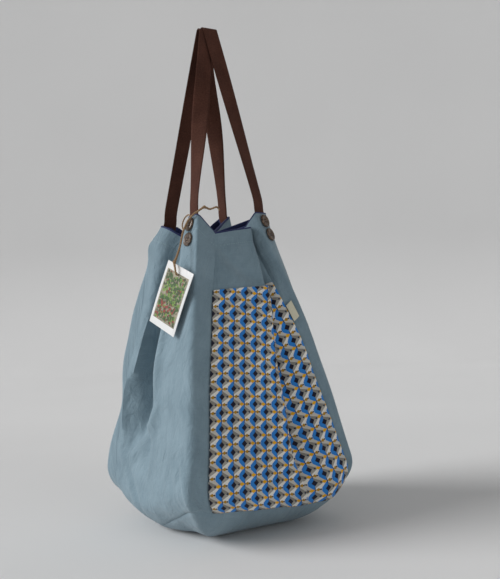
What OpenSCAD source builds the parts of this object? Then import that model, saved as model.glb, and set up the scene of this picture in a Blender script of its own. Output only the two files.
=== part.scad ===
// Soft fabric tote whose four strap ends gather a wide base into a small mouth.
// Millimetres. X runs left to right across the pocket face, Y from front to back, Z up.
// The origin lies on the ground under the middle of the base.

/* [Body] */
// Width of the base, left to right
base_w = 288; // [260:4:320]
// Depth of the base, front to back
base_d = 284; // [260:4:320]
// Width of the gathered mouth over its corners
mouth_w = 124; // [116:2:140]
// Depth of the gathered mouth over its corners
mouth_d = 114; // [108:2:130]
// Height of the rim at the front left corner
rim_h = 461; // [420:5:520]
// Height of the base's corners above the ground, which the bottom sags from
corner_h = 62; // [54:2:72]
// How far the filled sides swell past straight lines
swell = 10; // [4:1:14]
// How far the rim sags between two corners
rim_sag = 24; // [14:2:30]
// Width of flat bottom that the bag rests on, as a share of the base
rest_share = 0.4; // [0.3:0.05:0.5]

/* [Folds] */
// Distance of the front pleat's edge right of the middle
pleat_x = 32; // [26:2:38]
// Depth of the front pleat
pleat_depth = 40; // [30:2:44]
// How far the front pleat's inside runs back under its edge
pleat_lap = 14; // [8:1:16]
// Depth of the fold in the left side
left_fold = 44; // [34:2:48]
// Depth of the fold in the right side
right_fold = 66; // [50:2:68]
// Depth of the fold in the back
back_fold = 28; // [18:2:34]
// How far each side panel wraps round a front corner to its seam
seam_wrap = 29; // [26:1:32]

/* [Cloth] */
// Thickness of the outer linen
linen_t = 1.2; // [1:0.1:1.5]
// Thickness of the lining
lining_t = 0.7; // [0.5:0.1:0.9]
// Clearance between two layers of cloth
layer_gap = 0.3; // [0.2:0.05:0.4]
// Height of the binding along the rim
binding_h = 3.2; // [2.4:0.2:4]
// Distance of the topstitching below the rim
hem_h = 20; // [16:1:24]
// Thickness of the topstitching thread
thread_t = 0.6; // [0.5:0.1:0.8]

/* [Pocket] */
// Height of the pocket from the bottom seam
pocket_h = 312; // [260:4:324]
// Thickness of the printed pocket cloth
pocket_t = 1; // [0.8:0.1:1.3]
// Height of the hem turned in along the pocket's top
pocket_hem_h = 18; // [14:1:24]
// Distance of the loop label below the pocket's top
label_drop = 38; // [10:2:60]
// Length of the loop label sewn into the pocket's right seam
label_l = 24; // [18:1:28]
// How far the loop label stands out of the seam, as a share of the wrap beside it
label_share = 0.5; // [0.4:0.05:0.6]

/* [Straps] */
// Width of the webbing
webbing_w = 25; // [23:0.5:26]
// Thickness of the webbing
webbing_t = 1.8; // [1.4:0.1:2.2]
// Height of the handles' tops above the rim
handle_h = 294; // [240:5:320]
// Length of strap sewn down inside the mouth
strap_sewn = 50; // [44:1:56]
// Height of each handle's bend above the rim
bend_h = 18; // [17:0.5:22]
// Inside radius of the lower handle's top bend
top_bend_r = 3.6; // [3:0.2:5]
// Distance between the middles of the two handles at their tops
top_shift = 6; // [4:1:10]

/* [Buttons] */
// Diameter of a button
button_d = 20.5; // [19:0.5:22]
// Thickness of a button
button_t = 3.4; // [3:0.1:4]
// Diameter of each of a button's four holes
button_hole_d = 2; // [1.6:0.1:2.2]
// Distance of the upper button's middle below the rim
button_drop = 13; // [12:0.5:15]
// Distance between the middles of the two buttons of a pair
button_pitch = 21.4; // [21.4:0.2:24]

/* [Tag] */
// Width of the hanging card
card_w = 62; // [54:1:66]
// Height of the hanging card
card_h = 94; // [84:1:96]
// Thickness of the card
card_t = 0.9; // [0.7:0.1:1.2]
// Width of the white border at the card's sides
card_border = 5; // [3:0.5:6]
// Width of the white border at the card's top and bottom
card_end_border = 10; // [9:0.5:15]
// Diameter of the hole for the twine
card_hole_d = 3.6; // [3.4:0.1:4.4]
// Diameter of the jute twine
twine_d = 3; // [2.4:0.2:3.2]

/* [Hidden] */
LINEN = [0.48, 0.58, 0.62];
NAVY = [0.1, 0.14, 0.31];
WEBBING = [0.23, 0.14, 0.12];
BUTTON = [0.38, 0.3, 0.24];
JUTE = [0.66, 0.51, 0.37];
CREAM = [0.87, 0.85, 0.78];
PRINT_BLUE = [0.2, 0.43, 0.72];

// Rows of the cloth from bottom seam to rim, as shares of the height
ROWS = [0, 0.03, 0.07, 0.12, 0.2, 0.3, 0.42, 0.54, 0.66, 0.78, 0.88, 0.915, 0.95, 1];
// Points that round one knot of the outline
TURN = 3;
// Rings of the bottom from its seam to the flat it rests on
BOTTOM_ROWS = [1, 0.95, 0.86, 0.74, 0.6, rest_share];
// Corner heights of the rim against the front left one
RISE_FR = 4;
RISE_BR = 6;
RISE_BL = -6;
// Front seam lies this far below the base's corners
FRONT_DIP = 20;
// Side panels turn under the base down to this height
SIDE_TURN_H = 10;

LINING_IN = linen_t + layer_gap;
INSIDE = LINING_IN + lining_t;
STRAP_IN = INSIDE + 3 * layer_gap;
POCKET_OUT = 0.9 + 2 * layer_gap;
HEM_T = 0.9;
span_h = rim_h - corner_h;
POCKET_TOP = pocket_h / span_h;
BUTTON_GAP = 1.2;
BINDING_GAP = 0.6;
FOOT_R = webbing_w / 2 - 0.2;
OUTER_BEND_R = top_bend_r + webbing_t + 2 * layer_gap;
TOP_Z = rim_h + handle_h;

function lerp(a, b, t) = a + (b - a) * t;
function ease(x, a, b) =
    let (u = min(max((x - a) / (b - a), 0), 1))
    u * u * (3 - 2 * u);
function bump(x, c, w) = exp(-pow((x - c) / w, 2));
function unit(v) = v / max(norm(v), 0.000001);
function xy(p) = [p.x, p.y];

// Middle of a side's straight run at share t of the height, measured as half the outline
function half_w(t) = lerp(base_w / 2, mouth_w / 2, t);
function half_d(t) = lerp(base_d / 2, mouth_d / 2, t);
// Height between a seam level and a rim level
function rise(t, low, high) = lerp(low, rim_h + high, t);

// One corner of the outline, sx and sy choose which
function corner(t, sx, sy, puff, pinch, low, high) =
    let (out = puff * sin(180 * t) - pinch * bump(t, 0.32, 0.14),
         under = 14 * pow(1 - min(t / 0.09, 1), 2))
    [sx * (half_w(t) + out - under),
     sy * (half_d(t) + out - under),
     rise(t, low, high)];

// Knots of the outline at share t of the height, counterclockwise seen from above.
// 0 and 4 are the front seams, 11 and 15 the back ones.
function knots(t) =
    let (turn = pow(1 - min(t / 0.12, 1), 2),
         dip = corner_h - FRONT_DIP,
         cb = corner(t, -1, -1, swell, 0, corner_h, 0),
         cd0 = corner(t, 1, -1, swell * 0.3, 0, corner_h - 1, RISE_FR) + [3 * (1 - t), 0, 0],
         cc0 = corner(t, 1, 1, swell * 0.8, 4, corner_h, RISE_BR),
         ca = corner(t, -1, 1, swell * 1.3, 9, corner_h - 10, RISE_BL)
             + [-8 * bump(t, 0.93, 0.05), 5 * t + 3 * bump(t, 0.93, 0.05), 0],
         cc = cc0 - [16 * t, -6 * t, 0],
         cd = cd0 - [28 * ease(t, 0.5, 1), 4 * t, 0],
         rd = cd0 + [lerp(-1, 5, t) - 3 * ease(t, 0.8, 1), lerp(34, 10, t), 0],
         yf = (cb.y + cd.y) / 2,
         fl = [cb.x + seam_wrap, cb.y, rise(t, corner_h - 10, -rim_sag - 2)],
         wrap = lerp(12, 20, ease(t, 0, 0.45)) - 16 * ease(t, 0.6, 1),
         fr = [cd.x - wrap, cd.y + 22 * ease(t, 0.6, 1), rise(t, corner_h - 9, -15)],
         deep = pleat_depth * (0.87 + 0.13 * t) * ease(t, 0, 0.3),
         lap = pleat_lap * ease(t, 0.03, 0.3),
         low = bump(t, 0, 0.12),
         fe = [pleat_x + 12 * low + 5 * bump(t, 0.75, 0.1), yf + 4 * t - 6 * low,
               rise(t, dip - 4, -rim_sag + 6)],
         fv = [pleat_x - lap + 22 * low, yf + deep - 6 * low, rise(t, dip - 4, -rim_sag + 4)],
         fm = [(fv.x + fr.x) / 2 + 4 * (1 - t), (fv.y + fr.y) / 2 - 9 * (1 - t),
               rise(t, dip - 4, -rim_sag + 6)],
         xr = (cd0.x + cc0.x) / 2 - 18 * turn,
         rdeep = right_fold * pow(ease(t, 0.25, 1), 1.2),
         re = [xr, -22 - 20 * (1 - t), rise(t, SIDE_TURN_H, 0)],
         rv = [xr - rdeep, -2 * t, rise(t, SIDE_TURN_H, -rim_sag)],
         rf = [xr - 17 * t, lerp(42, 27, t), rise(t, SIDE_TURN_H, RISE_BR)],
         br = [cc.x - 24, cc.y - 4 * t, rise(t, corner_h - 8, -10)],
         yb = (cc.y + ca.y) / 2 - 4 * pow(1 - min(t / 0.09, 1), 2),
         be = [18, yb - 3 * t, rise(t, dip, -rim_sag + 5)],
         bv = [0, yb - back_fold * ease(t, 0.1, 0.9), rise(t, dip - 2, -rim_sag)],
         bf = [-18, yb - 3 * t, rise(t, dip, -rim_sag + 5)],
         bl = [ca.x + 24 + 12 * ease(t, 0.6, 0.9), ca.y + 8 * ease(t, 0.6, 1),
               rise(t, corner_h - 12, RISE_BL - 2)],
         xl = (cb.x + ca.x) / 2 + 18 * turn,
         ldeep = (left_fold - 8) * ease(t, 0.16, 0.45) + 8 * t,
         le = [xl + 2, lerp(86, 34, ease(t, 0.15, 1)) - 46 * turn, rise(t, SIDE_TURN_H, -14)],
         lv = [xl + ldeep, 8, rise(t, SIDE_TURN_H, -rim_sag - 18)],
         lf = [xl + 2 * t, lerp(0, -22, ease(t, 0.4, 0.9)), rise(t, SIDE_TURN_H, 0)])
    [fl, fe, fv, fm, fr, cd, rd, re, rv, rf, cc, br, be, bv, bf, bl, ca, le, lv, lf, cb];

// How far each knot's rounding reaches along its two sides, 0 at a seam
function reaches(t) =
    [0, 6 + 5 * (1 - t), 8, 20, 0,
     lerp(24, 4, ease(t, 0, 0.9)), lerp(20, 4, ease(t, 0, 0.9)), 12, 12,
     lerp(12, 4, t), lerp(34, 4, ease(t, 0, 0.9)), 0,
     12, 12, 12, 0,
     lerp(34, 5, ease(t, 0, 0.9)), 24, 12, lerp(8, 4, t), lerp(44, 5, ease(t, 0, 0.9))];
KNOTS = 21;
SEAMS = [0, 4, 11, 15, 21];

// Knots moved inwards by d along mitred corners
function inset(k, d) =
    [for (i = [0:KNOTS - 1])
        let (p = k[i],
             u = unit(xy(p) - xy(k[(i + KNOTS - 1) % KNOTS])),
             v = unit(xy(k[(i + 1) % KNOTS]) - xy(p)),
             m = [-u.y - v.y, u.x + v.x] / max(1 + u * v, 0.12))
        [p.x + d * m.x, p.y + d * m.y, p.z]];

// Points of the outline from knot a to knot b of a closed list, with rounded knots
function rounded(k, r, a, b) =
    [for (i = [a:b])
        let (n = i % KNOTS,
             p = k[n],
             q = k[(n + KNOTS - 1) % KNOTS],
             s = k[(n + 1) % KNOTS],
             reach = min(r[n], 0.46 * norm(p - q), 0.46 * norm(s - p)),
             p0 = p + unit(q - p) * reach,
             p2 = p + unit(s - p) * reach)
        each r[n] == 0 || i == a || i == b
            ? [p]
            : [for (j = [0:TURN])
                let (u = j / TURN)
                (1 - u) * (1 - u) * p0 + 2 * u * (1 - u) * p + u * u * p2]];

// Outline from seam to seam at share t, moved inwards by d
function outline(t, d, a, b) = rounded(inset(knots(t), d), reaches(t), a, b);
// A point of the cloth on the side that starts at knot i
function on_side(t, i, u, d) =
    let (k = inset(knots(t), d))
    lerp(k[i], k[(i + 1) % KNOTS], u);

// A closed sheet between two grids of points that face each other
module sheet(outer, inner) {
    rows = len(outer);
    cols = len(outer[0]);
    points = [for (row = outer) each row, for (row = inner) each row];
    half = rows * cols;
    function at(side, i, j) = side * half + i * cols + j;
    faces = [
        for (i = [0:rows - 2], j = [0:cols - 2])
            each [[at(0, i, j), at(0, i + 1, j), at(0, i + 1, j + 1)],
                  [at(0, i, j), at(0, i + 1, j + 1), at(0, i, j + 1)],
                  [at(1, i, j), at(1, i + 1, j + 1), at(1, i + 1, j)],
                  [at(1, i, j), at(1, i, j + 1), at(1, i + 1, j + 1)]],
        for (j = [0:cols - 2])
            each [[at(0, 0, j), at(0, 0, j + 1), at(1, 0, j + 1), at(1, 0, j)],
                  [at(0, rows - 1, j), at(1, rows - 1, j),
                   at(1, rows - 1, j + 1), at(0, rows - 1, j + 1)]],
        for (i = [0:rows - 2])
            each [[at(0, i, 0), at(1, i, 0), at(1, i + 1, 0), at(0, i + 1, 0)],
                  [at(0, i, cols - 1), at(0, i + 1, cols - 1),
                   at(1, i + 1, cols - 1), at(1, i, cols - 1)]]];
    polyhedron(points, faces, convexity = 10);
}

// A closed bar swept through rings of the same number of points
module sweep(rings, closed = false) {
    n = len(rings[0]);
    count = len(rings);
    last = closed ? count - 1 : count - 2;
    walls = [for (i = [0:last], j = [0:n - 1])
        let (a = i * n, b = ((i + 1) % count) * n, h = (j + 1) % n)
        each [[a + j, b + h, b + j], [a + j, a + h, b + h]]];
    ends = closed ? [] : [[for (j = [n - 1:-1:0]) j], [for (j = [0:n - 1]) (count - 1) * n + j]];
    polyhedron([for (r = rings) each r], concat(walls, ends), convexity = 10);
}

// A panel of one layer between two seams
module panel(a, b, near, far, rows = ROWS) {
    sheet([for (t = rows) outline(t, near, a, b)], [for (t = rows) outline(t, far, a, b)]);
}

// Bottom of one layer: its outline shrinks and falls towards the flat
function bottom_ring(q, d, lift) =
    let (u = (q - rest_share) / (1 - rest_share))
    [for (p = outline(0, d, 0, KNOTS))
        [p.x * q, p.y * q,
         p.z * pow(u, 4.5 - 2.2 * ease(p.z, SIDE_TURN_H, 40)) + lift * (1 - u)]];

module bottom_layer(near, far) {
    outer = [for (q = BOTTOM_ROWS) bottom_ring(q, near, near)];
    inner = [for (q = BOTTOM_ROWS) bottom_ring(q, far, far)];
    n = len(outer[0]) - 1;
    rows = len(outer);
    half = rows * n;
    points = [for (row = outer) each [for (j = [0:n - 1]) row[j]],
              for (row = inner) each [for (j = [0:n - 1]) row[j]],
              [0, 0, near], [0, 0, far]];
    function at(side, i, j) = side * half + i * n + j % n;
    faces = [
        for (i = [0:rows - 2], j = [0:n - 1])
            each [[at(0, i, j), at(0, i, j + 1), at(0, i + 1, j + 1)],
                  [at(0, i, j), at(0, i + 1, j + 1), at(0, i + 1, j)],
                  [at(1, i, j), at(1, i + 1, j + 1), at(1, i, j + 1)],
                  [at(1, i, j), at(1, i + 1, j), at(1, i + 1, j + 1)]],
        for (j = [0:n - 1])
            [at(0, 0, j), at(1, 0, j), at(1, 0, j + 1), at(0, 0, j + 1)],
        for (j = [0:n - 1])
            each [[2 * half, at(0, rows - 1, j), at(0, rows - 1, j + 1)],
                  [2 * half + 1, at(1, rows - 1, j + 1), at(1, rows - 1, j)]]];
    polyhedron(points, faces, convexity = 10);
}

module front_panel() { color(LINEN) panel(0, 4, 0, linen_t); }
module right_panel() { color(LINEN) panel(4, 11, 0, linen_t); }
module back_panel() { color(LINEN) panel(11, 15, 0, linen_t); }
module left_panel() { color(LINEN) panel(15, 21, 0, linen_t); }
module bottom_panel() { color(LINEN) bottom_layer(0, linen_t); }
module front_lining() { color(NAVY) panel(0, 4, LINING_IN, INSIDE); }
module right_lining() { color(NAVY) panel(4, 11, LINING_IN, INSIDE); }
module back_lining() { color(NAVY) panel(11, 15, LINING_IN, INSIDE); }
module left_lining() { color(NAVY) panel(15, 21, LINING_IN, INSIDE); }
module bottom_lining() { color(NAVY) bottom_layer(LINING_IN, INSIDE); }

// Closed ring of a layer that stands from z0 to z1 against the outline at share t
module ring_band(t, near, far, z0, z1) {
    a = outline(t, near, 0, KNOTS);
    b = outline(t, far, 0, KNOTS);
    sweep([for (i = [0:len(a) - 2])
        [a[i] + [0, 0, z0], a[i] + [0, 0, z1], b[i] + [0, 0, z1], b[i] + [0, 0, z0]]],
        closed = true);
}

module rim_binding() { color(NAVY) ring_band(1, -0.3, INSIDE, BINDING_GAP, binding_h); }
module rim_topstitch() {
    t = 1 - hem_h / span_h;
    color(LINEN) ring_band(t, -layer_gap - thread_t, -layer_gap, -thread_t / 2, thread_t / 2);
}

// Printed pocket over the front panel, with its top hem turned in behind it
HEM_ROWS = [POCKET_TOP - pocket_hem_h / span_h, POCKET_TOP];
POCKET_ROWS = [for (t = ROWS) if (t < HEM_ROWS[0] - 0.02) t, each HEM_ROWS];
module front_pocket() {
    color(PRINT_BLUE) panel(0, 4, -POCKET_OUT - pocket_t, -POCKET_OUT, POCKET_ROWS);
}
module pocket_hem() {
    color(PRINT_BLUE) panel(0, 4, -layer_gap - HEM_T, -layer_gap, HEM_ROWS);
}

// Loop label that stands out of the pocket's right seam, flat against the side panel
LABEL_T1 = POCKET_TOP - label_drop / span_h;
LABEL_T0 = LABEL_T1 - label_l / span_h;
module loop_label() {
    rows = [LABEL_T0, (LABEL_T0 + LABEL_T1) / 2, LABEL_T1];
    function patch(d) = [for (t = rows) [for (u = [0.02, label_share / 2, label_share])
        on_side(t, 4, u, d)]];
    color(CREAM) sheet(patch(-3 * layer_gap - 1.3), patch(-3 * layer_gap));
}

// Strap ends: knot before, share along that side at the rim and at the sewn end
STRAPS = [[19, 0.46, 0.58], [15, 0.5, 0.38], [5, 0.5, 0.5], [9, 0.5, 0.5]];
FRONT_LEFT = 0;
BACK_LEFT = 1;
FRONT_RIGHT = 2;
BACK_RIGHT = 3;
STRAP_MID = STRAP_IN + webbing_t / 2;
STRAP_ROWS = [1 - strap_sewn / span_h, 0.915, 0.95, 1];
// A point of the cloth in line with a strap, d inside its outer face
function strap_line(s, t, d) =
    let (k = STRAPS[s], down = (1 - t) * span_h / strap_sewn)
    on_side(t, k[0], lerp(k[1], k[2], down), d);
// Level direction along the cloth at a strap end, counterclockwise round the mouth
function strap_along(s, t = 1) =
    let (k = inset(knots(t), STRAP_MID),
         i = STRAPS[s][0],
         d = unit(xy(k[(i + 1) % KNOTS]) - xy(k[i])))
    [d.x, d.y, 0];
// Level direction out of the bag there
function strap_out(s, t = 1) = let (a = strap_along(s, t)) [a.y, -a.x, 0];
function strap_foot(s) = strap_line(s, 1, STRAP_MID) + [0, 0, bend_h];
// Four corners of the webbing's section about a middle point
function section(c, along, out, half = webbing_w / 2) =
    let (w = along * half, h = out * webbing_t / 2)
    [c - w - h, c + w - h, c + w + h, c - w + h];

module strap_end(s) {
    rings = [for (t = STRAP_ROWS)
        section(strap_line(s, t, STRAP_MID), strap_along(s, t), strap_out(s, t))];
    color(WEBBING) sweep(concat(rings,
        [section(strap_foot(s) - [0, 0, FOOT_R + layer_gap], strap_along(s), strap_out(s))]));
}

// A leg climbs straight from its foot to the top bend, turning its flat side by angle turn.
// It stands off by aside just below the bend, where it passes the other handle's leg.
// Its round end turns on the hinge line clear of the strap end below.
function leg(s, top, turn, aside, steps) =
    let (foot = strap_foot(s), a = strap_along(s), o = strap_out(s))
    [for (g = [8, 24, 44, 66])
        section(foot - [0, 0, FOOT_R * cos(g)], a, o, FOOT_R * sin(g)),
     for (i = [0:steps])
        let (v = i / steps,
             c = lerp(foot, top, v) + [0, aside * 12 * pow(v, 4) * (1 - v), 0],
             g = turn * ease(v, 0, 0.85),
             along = [a.x * cos(g) - a.y * sin(g), a.x * sin(g) + a.y * cos(g), 0],
             out = [along.y, -along.x, 0])
        section(c, along, out)];

// Angle that brings a strap end's direction level with the X axis
function face_turn(s, goal) =
    let (a = strap_along(s),
         g = goal - atan2(a.y, a.x))
    g - 360 * round(g / 360);

// A handle runs up from its front strap end, over the top bend and down to the back one
module handle(front, back, x, r, aside) {
    axle = [x, 0, TOP_Z - OUTER_BEND_R - webbing_t];
    mid = r + webbing_t / 2;
    up = leg(front, axle - [0, mid, 0], face_turn(front, 0), 0, 12);
    down = leg(back, axle + [0, mid, 0], face_turn(back, 180), aside, 12);
    bend = [for (g = [22.5:22.5:157.5])
        let (out = [0, -cos(g), sin(g)])
        section(axle + out * mid, [1, 0, 0], out)];
    color(WEBBING) sweep(concat(up, bend, [for (i = [len(down) - 1:-1:0])
        let (q = down[i])
        [q[1], q[0], q[3], q[2]]]));
}
module handle_left() { handle(FRONT_LEFT, BACK_LEFT, -top_shift / 2, top_bend_r, 0); }
module handle_right() { handle(FRONT_RIGHT, BACK_RIGHT, top_shift / 2, OUTER_BEND_R, 7); }

// Turns +Z of its children onto the direction n at the place p
module stand_on(p, n) {
    translate(p) rotate([0, acos(n.z / norm(n)), atan2(n.y, n.x)]) children();
}

// Height share of a button, its place on the cloth and the direction it faces
function button_row(n) = 1 - (button_drop + n * button_pitch) * 0.97 / span_h;
function button_seat(s, n) = strap_line(s, button_row(n), 0);
function button_out(s, n) =
    let (t = button_row(n))
    unit(cross(strap_along(s, t), strap_line(s, t + 0.02, 0) - strap_line(s, t - 0.02, 0)));

HOLE_SPOTS = [for (x = [-1, 1], y = [-1, 1]) [x, y] * 1.7];

module button_shape() {
    r = button_d / 2;
    difference() {
        rotate_extrude($fn = 64) polygon([
            [0, 0], [r - 1.2, 0], [r, 1.1], [r, button_t - 1.3], [r - 0.9, button_t - 0.3],
            [r - 2.2, button_t], [r - 3.6, button_t - 0.6], [r - 5, button_t - 0.7],
            [r - 5.6, button_t - 1.3], [0, button_t - 1.5]]);
        for (h = HOLE_SPOTS)
            translate([h.x, h.y, -1]) cylinder(h = button_t + 2, d = button_hole_d, $fn = 24);
    }
}
module button(s, n) {
    out = button_out(s, n);
    color(BUTTON) stand_on(button_seat(s, n) + out * BUTTON_GAP, out) button_shape();
}

// Thread through the four holes of each button, from the cloth to a cross on its face
module button_threads() {
    d = 1.1;
    face = button_t - 1.5 + BUTTON_GAP;
    color(WEBBING) for (s = [0:3], n = [0:1])
        stand_on(button_seat(s, n), button_out(s, n)) {
            for (h = HOLE_SPOTS)
                translate([h.x, h.y, 2 * layer_gap]) cylinder(h = face + 0.4 - layer_gap, d = d, $fn = 16);
            for (x = [-1, 1])
                translate([x * 1.7, 0, face + 0.6]) rotate([90, 0, 0])
                    cylinder(h = 3.4, d = d * 0.9, center = true, $fn = 16);
        }
}

// Bar tacks that sew each strap end to the lining, above and below
module strap_tacks() {
    color(NAVY) for (s = [0:3], drop = [8, strap_sewn - 8])
        let (t = 1 - drop / span_h, out = strap_out(s, t))
        stand_on(strap_line(s, t, STRAP_MID) - out * (webbing_t / 2 + 3 * layer_gap), -out)
            cube([2, webbing_w - 6, 0.6], center = true);
}

// Hanging card: its middle, the way it faces, and how far its top leans back and aside
CARD_MID = [-109, -50, 343];
CARD_FACE = 191;
CARD_TILT = 8;
CARD_LEAN = -22;
HOLE_DOWN = 12;
CARD_OUT = [cos(CARD_FACE) * cos(CARD_TILT), sin(CARD_FACE) * cos(CARD_TILT), sin(CARD_TILT)];
CARD_SIDE = [-sin(CARD_FACE), cos(CARD_FACE), 0];
CARD_RISE = cross(CARD_OUT, CARD_SIDE);
CARD_UP = cos(CARD_LEAN) * CARD_RISE - sin(CARD_LEAN) * CARD_SIDE;
CARD_HOLE = CARD_MID + (card_h / 2 - HOLE_DOWN) * CARD_UP;
module on_card() {
    translate(CARD_MID) rotate([0, 0, CARD_FACE]) rotate([0, -CARD_TILT, 0])
        rotate([CARD_LEAN, 0, 0]) rotate([90, 0, 90]) children();
}
module card_blank(w, h) {
    hull() for (x = [-1, 1], y = [-1, 1])
        translate([x * (w / 2 - 1.5), y * (h / 2 - 1.5), 0]) circle(1.5, $fn = 16);
}
module card_hole(d) {
    translate([0, card_h / 2 - HOLE_DOWN, 0]) circle(d = d, $fn = 32);
}
module tag_card() {
    color(CREAM) on_card() translate([0, 0, -card_t]) linear_extrude(card_t) difference() {
        card_blank(card_w, card_h);
        card_hole(card_hole_d);
    }
}
module tag_picture() {
    color([0.4, 0.5, 0.35]) on_card() linear_extrude(0.25) difference() {
        square([card_w - 2 * card_border, card_h - 2 * card_end_border], center = true);
        card_hole(card_hole_d + 1);
    }
}

// Jute twine from behind the card's hole, over the front left upper button, to its free end.
// Each entry is a point and the thickness there, as a share of the twine's.
TWINE = [
    [CARD_HOLE - 4 * CARD_OUT, 1], [CARD_HOLE + 2 * CARD_OUT, 1],
    [CARD_HOLE + 3.6 * CARD_OUT + [0, 0, 3], 1], [[-105.5, -61, 385], 1],
    [[-105, -59, 390], 1.2], [[-104, -57.5, 394], 1.8], [[-101, -57, 398.5], 1.2],
    [[-91, -52, 416], 1], [[-83, -47, 435], 1], [[-71.7, -40.3, 450.5], 1],
    [[-68.5, -53, 461], 1], [[-62, -57, 466], 1], [[-56, -59.5, 470], 1.1], [[-53, -60, 471.5], 1.8],
    [[-50, -61, 470.5], 1.1], [[-45, -63, 468.5], 1], [[-38, -67, 471], 1], [[-35, -68, 470], 0.9],
    [[-33.5, -69, 466], 0.6]];
// Second strand that hooks round behind the same button
TWINE_LOOP = [
    [[-78.8, -42.9, 439.3], 0.7], [[-76, -35.5, 442], 0.7], [[-74, -30.2, 447.5], 0.7],
    [[-72.5, -30.5, 453.5], 0.7], [[-70.5, -34.5, 459.5], 0.7], [[-69, -41, 462], 0.7],
    [[-69, -47.5, 460.2], 0.7]];
function rod(route) =
    let (n = len(route))
    [for (i = [0:n - 1])
        let (d = unit(route[min(i + 1, n - 1)][0] - route[max(i - 1, 0)][0]),
             a = unit(cross(d, [0.3, 1, 0.1])),
             b = cross(d, a),
             r = twine_d / 2 * route[i][1])
        [for (g = [0:45:315]) route[i][0] + r * (cos(g) * a - sin(g) * b)]];
module twine() { color(JUTE) sweep(rod(TWINE)); }
module twine_loop() { color(JUTE) sweep(rod(TWINE_LOOP)); }

front_panel();
right_panel();
back_panel();
left_panel();
bottom_panel();
front_lining();
right_lining();
back_lining();
left_lining();
bottom_lining();
rim_binding();
rim_topstitch();
front_pocket();
pocket_hem();
loop_label();
strap_end(FRONT_LEFT);  // strap_end_front_left
strap_end(BACK_LEFT);  // strap_end_back_left
strap_end(FRONT_RIGHT);  // strap_end_front_right
strap_end(BACK_RIGHT);  // strap_end_back_right
strap_tacks();
handle_left();
handle_right();
button(FRONT_LEFT, 0);  // button_front_left_upper
button(FRONT_LEFT, 1);  // button_front_left_lower
button(BACK_LEFT, 0);  // button_back_left_upper
button(BACK_LEFT, 1);  // button_back_left_lower
button(FRONT_RIGHT, 0);  // button_front_right_upper
button(FRONT_RIGHT, 1);  // button_front_right_lower
button(BACK_RIGHT, 0);  // button_back_right_upper
button(BACK_RIGHT, 1);  // button_back_right_lower
button_threads();
twine();
twine_loop();
tag_card();
tag_picture();
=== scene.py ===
"""Looks of a gathered linen tote with two webbing handles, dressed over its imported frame.

Sizes are in millimetres, as in the frame's source, and turn to metres in the meshes. A share of
the height runs from 0 at the bottom seam to 1 at the rim.
"""

from __future__ import annotations

import logging
import math
from dataclasses import dataclass, field
from enum import Enum

import bpy
import numpy as np
from mathutils import Matrix

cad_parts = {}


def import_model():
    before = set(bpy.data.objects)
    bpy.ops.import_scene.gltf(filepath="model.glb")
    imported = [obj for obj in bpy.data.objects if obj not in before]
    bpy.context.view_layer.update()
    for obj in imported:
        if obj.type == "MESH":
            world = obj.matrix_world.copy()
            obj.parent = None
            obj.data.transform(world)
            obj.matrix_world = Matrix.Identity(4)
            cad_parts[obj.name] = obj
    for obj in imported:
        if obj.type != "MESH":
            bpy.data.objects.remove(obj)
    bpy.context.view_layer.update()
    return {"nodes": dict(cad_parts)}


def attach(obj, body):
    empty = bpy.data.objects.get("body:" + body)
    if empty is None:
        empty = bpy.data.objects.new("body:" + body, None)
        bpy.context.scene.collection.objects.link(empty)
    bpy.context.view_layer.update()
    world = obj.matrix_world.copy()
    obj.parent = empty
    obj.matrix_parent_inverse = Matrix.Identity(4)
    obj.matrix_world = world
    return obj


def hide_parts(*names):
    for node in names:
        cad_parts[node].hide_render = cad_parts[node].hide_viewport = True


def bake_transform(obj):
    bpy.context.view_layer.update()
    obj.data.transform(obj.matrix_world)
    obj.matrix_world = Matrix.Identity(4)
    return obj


Array = np.ndarray
Material = bpy.types.Material
Piece = bpy.types.Object
Socket = bpy.types.NodeSocket

LOG = logging.getLogger("gathered_tote")
MM = 0.001
UV_NAME = "cloth"
KNOTS = 21


class Side(Enum):
    """A wall of the bag: its name, and the knots of the outline where it starts and ends."""

    FRONT = ("front", 0, 4)
    RIGHT = ("right", 4, 11)
    BACK = ("back", 11, 15)
    LEFT = ("left", 15, KNOTS)

    def __init__(self, label: str, first: int, last: int) -> None:
        """Names the three values of a wall."""
        self.label, self.first, self.last = label, first, last


SEAMS = tuple(side.first for side in Side)


# Arithmetic on arrays


def lerp(a: Array, b: Array, t: Array) -> Array:
    """Straight mix of a and b by share t."""
    return a + (b - a) * t


def ease(x: Array, a: float, b: float) -> Array:
    """Smooth step from 0 at a to 1 at b."""
    u = np.clip((np.asarray(x, float) - a) / (b - a), 0, 1)
    return u * u * (3 - 2 * u)


def bump(x: Array, c: float, w: float) -> Array:
    """Bell of height 1 and width w round c."""
    return np.exp(-(((np.asarray(x, float) - c) / w) ** 2))


def unit(v: Array) -> Array:
    """Vectors of length 1 along the last axis."""
    v = np.asarray(v, float)
    return v / np.maximum(np.linalg.norm(v, axis=-1, keepdims=True), 1e-9)


def point(x: Array, y: Array, z: Array) -> Array:
    """Points from three arrays of coordinates."""
    return np.stack(np.broadcast_arrays(x, y, z), -1)


def length_along(line: Array) -> Array:
    """Distance from a line's first point to each of its points."""
    return np.concatenate([[0], np.cumsum(np.linalg.norm(np.diff(line, axis=0), axis=1))])


def round_section(side: Array, over: Array, g: Array) -> Array:
    """Directions round a line at angles g, from its side to its upper direction, for each point."""
    return np.cos(g)[None, :, None] * side[:, None] + np.sin(g)[None, :, None] * over[:, None]


# Meshes


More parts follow.
